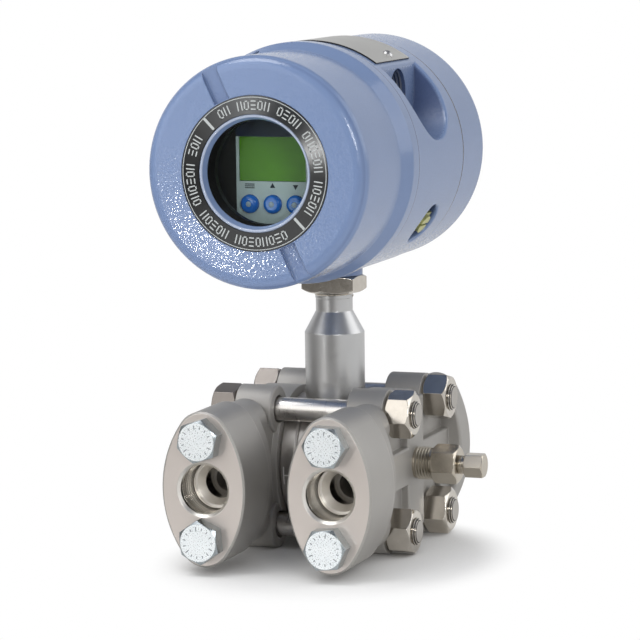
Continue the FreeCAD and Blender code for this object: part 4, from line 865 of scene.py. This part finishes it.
def plate():
    """Brushed sheet: fine marks along the barrel on its face, near black on its cut edges."""
    material, inputs, place = started("plate_steel")
    cloud = grain(place, size=18.0)
    brushed = grain(place, size=0.2, stretch=(1, 30, 1))
    outward = offset_from(place, BARREL_AXIS).vector("MULTIPLY", ROUND_AXIS).vector("NORMALIZE")
    face = facing(place, outward).ramp(*PLATE_FACE_TURN)
    face.mix(PLATE_EDGE_TONE, cloud.mix(*PLATE_TONES)).feeds(inputs["Base Color"])
    drift = (cloud - 0.5) * PLATE_SWING + (brushed - 0.5) * BRUSH_SWING
    (PLATE_ROUGH + drift).feeds(inputs["Roughness"])
    raise_surface(inputs, brushed, depth=0.008, strength=0.4)
    inputs["Metallic"].default_value = PLATE_METAL
    return material


dress("nameplate", plate())
dress("nameplate_screws", neck_steel)


# Studio
# A white floor that keeps the shadow close to the object, a pale surround that is dim overhead and in
# front, and soft lamps: overhead on the left, in front on both sides, low in front and behind. In metres.
FLOOR_HALF = 6.0
WHITE = (1.0, 1.0, 1.0)
SHADOW_CENTRE = (0.006, -0.025, 0.0)
SHADOW_HALF = (0.064, 0.078)
SHADOW_FADE = (0.85, 1.2)
CONTACT_REACH = 0.06
CONTACT_SAMPLES = 8
CONTACT_SHADE_TONE = (0.40, 0.39, 0.38, 1)
FLOOR_PALE = (0.96, 0.96, 0.96, 1)
FLOOR_GLOW = 0.5
FLOOR_MIRRORED = (0.82, 0.82, 0.82)
DIM_SIDE_RAY = (-0.48, -0.87, 0.10)
DIM_FLOOR_FADE = (0.12, 0.42)
DIM_SIDE_FADE = (0.0, 0.6)
DARK_TABLE = (0.15, 0.145, 0.14)
TABLE_EDGE = (0.04, 0.16)
DIM_ROOM = (0.34, 0.325, 0.305)
PALE_WALL = (0.78, 0.79, 0.81)
CEILING_TONE = (0.15, 0.16, 0.19)
CEILING_EDGE = (0.30, 0.60)
AMBIENT = 0.28


def seen_directly(root):
    """1 for the rays that show a surface as it is: from the camera, in a mirror or through glass."""
    from_camera = root.node("LightPath", output="Is Camera Ray")
    mirrored = root.node("LightPath", output="Is Glossy Ray")
    through = root.node("LightPath", output="Is Transmission Ray")
    return (from_camera + mirrored + through).ramp(0.0, 1.0)


def floor_white():
    """White where the camera looks; near the object, a matte floor takes its shadow, with painted contact
    shade.
    """
    material, root, surface = unshaded("floor_white")
    place = root.node("TexCoord", output="Object")
    spread = (1 / SHADOW_HALF[0], 1 / SHADOW_HALF[1], 0)
    away = distance(place.vector("SUBTRACT", SHADOW_CENTRE), spread)
    from_camera = root.node("LightPath", output="Is Camera Ray")
    contact = {"Distance": CONTACT_REACH}
    open_sky = root.node("AmbientOcclusion", {"samples": CONTACT_SAMPLES}, contact, output="AO")
    pale = root.node("BsdfDiffuse", {}, {"Color": FLOOR_PALE})
    # Painted contact shade: a darker matte where ambient occlusion finds the object close.
    dark = root.node("BsdfDiffuse", {}, {"Color": CONTACT_SHADE_TONE})
    matte = root.node("MixShader", {}, {0: from_camera * (1 - open_sky), 1: pale, 2: dark})
    glow = root.node("Emission", {}, {"Color": (*WHITE, 1), "Strength": 1.0})
    near = root.node("MixShader", {}, {0: from_camera * open_sky * FLOOR_GLOW, 1: matte, 2: glow})
    ahead = place.vector("DOT_PRODUCT", DIM_SIDE_RAY).ramp(*DIM_FLOOR_FADE)
    shown = from_camera.mix(ahead.mix(FLOOR_MIRRORED, DARK_TABLE), WHITE)
    far = root.node("Emission", {}, {"Color": shown, "Strength": 1.0})
    edge = away.ramp(*SHADOW_FADE) * seen_directly(root)
    root.node("MixShader", {}, {0: edge, 1: near, 2: far}).feeds(surface)
    return material


def lamp(name, place, size, power, aim=(0, 0, 0.1)):
    """A soft round lamp that looks at a point of the object, both placed in metres."""
    data = bpy.data.lights.new(name, "AREA")
    data.shape = "DISK"
    data.size = size
    data.energy = power
    made = bpy.data.objects.new(name, data)
    made.location = place
    made.rotation_euler = (Vector(aim) - Vector(place)).to_track_quat("-Z", "Y").to_euler()
    bpy.context.scene.collection.objects.link(made)


floor_shape = bmesh.new()
bmesh.ops.create_grid(floor_shape, x_segments=1, y_segments=1, size=FLOOR_HALF)
floor_mesh = bpy.data.meshes.new("floor")
floor_shape.to_mesh(floor_mesh)
floor_shape.free()
floor_mesh.materials.append(floor_white())
floor = bpy.data.objects.new("floor", floor_mesh)
bpy.context.scene.collection.objects.link(floor)

world = bpy.data.worlds.new("surround")
bpy.context.scene.world = world
world.use_nodes = True
world.node_tree.nodes.clear()
root = Shade(world.node_tree)
direction = root.node("TexCoord", output="Generated")
height = direction.part("Z")
far_wall = height.ramp(*TABLE_EDGE).mix(DARK_TABLE, DIM_ROOM)
wall = direction.vector("DOT_PRODUCT", DIM_SIDE_RAY).ramp(*DIM_SIDE_FADE).mix(PALE_WALL, far_wall)
room = height.ramp(*CEILING_EDGE).mix(wall, CEILING_TONE)
shown = root.node("LightPath", output="Is Camera Ray").mix(room, WHITE)
ambient = root.node("Background", {}, {"Color": (*WHITE, 1), "Strength": AMBIENT})
surround = root.node("Background", {}, {"Color": shown, "Strength": 1.0})
lit = root.node("MixShader", {}, {0: seen_directly(root), 1: ambient, 2: surround})
lit.feeds(world.node_tree.nodes.new("ShaderNodeOutputWorld").inputs["Surface"])

lamp("key", (-0.66, -0.95, 0.62), size=1.35, power=6.0)
lamp("front", (0.70, -1.05, 0.50), size=0.35, power=4.2)
lamp("low", (-0.362, -0.905, 0.038), size=0.025, power=0.22, aim=(-0.027, -0.076, 0.134))
lamp("fill", (1.0, 0.55, 0.72), size=1.10, power=4.2)
lamp("top", (-0.30, -0.25, 1.05), size=0.60, power=5.0)


# Camera
# Set where the photograph was taken from, by fitting the circles and edges of the object. Its place is in
# millimetres from the port centre, and its lens is the focal length for a sensor 36 mm wide.
AZIMUTH = math.radians(20.11)
ELEVATION = math.radians(7.47)
ROLL = math.radians(-0.78)
CAMERA_DISTANCE = 1375.46
AIM_RIGHT = -6.14
AIM_UP = 59.5
LENS = 182.87
SENSOR_WIDTH = 36.0
CLIP_START = 0.05
backward = Vector((
    math.sin(AZIMUTH) * math.cos(ELEVATION), -math.cos(AZIMUTH) * math.cos(ELEVATION), math.sin(ELEVATION)))
right = Vector((math.cos(AZIMUTH), math.sin(AZIMUTH), 0))
up = backward.cross(right)
aim = right * AIM_RIGHT + Vector((0, 0, AIM_UP))
rolled_right = right * math.cos(ROLL) + up * math.sin(ROLL)
rolled_up = up * math.cos(ROLL) - right * math.sin(ROLL)
turned = Matrix((rolled_right, rolled_up, backward)).transposed().to_4x4()
camera_data = bpy.data.cameras.new("camera")
camera_data.lens = LENS
camera_data.sensor_width = SENSOR_WIDTH
camera_data.clip_start = CLIP_START
camera = bpy.data.objects.new("camera", camera_data)
camera.matrix_world = Matrix.Translation(PORT_CENTRE + (aim + backward * CAMERA_DISTANCE) * MM) @ turned
bpy.context.scene.collection.objects.link(camera)
bpy.context.scene.camera = camera
bpy.context.scene.view_settings.view_transform = "Standard"
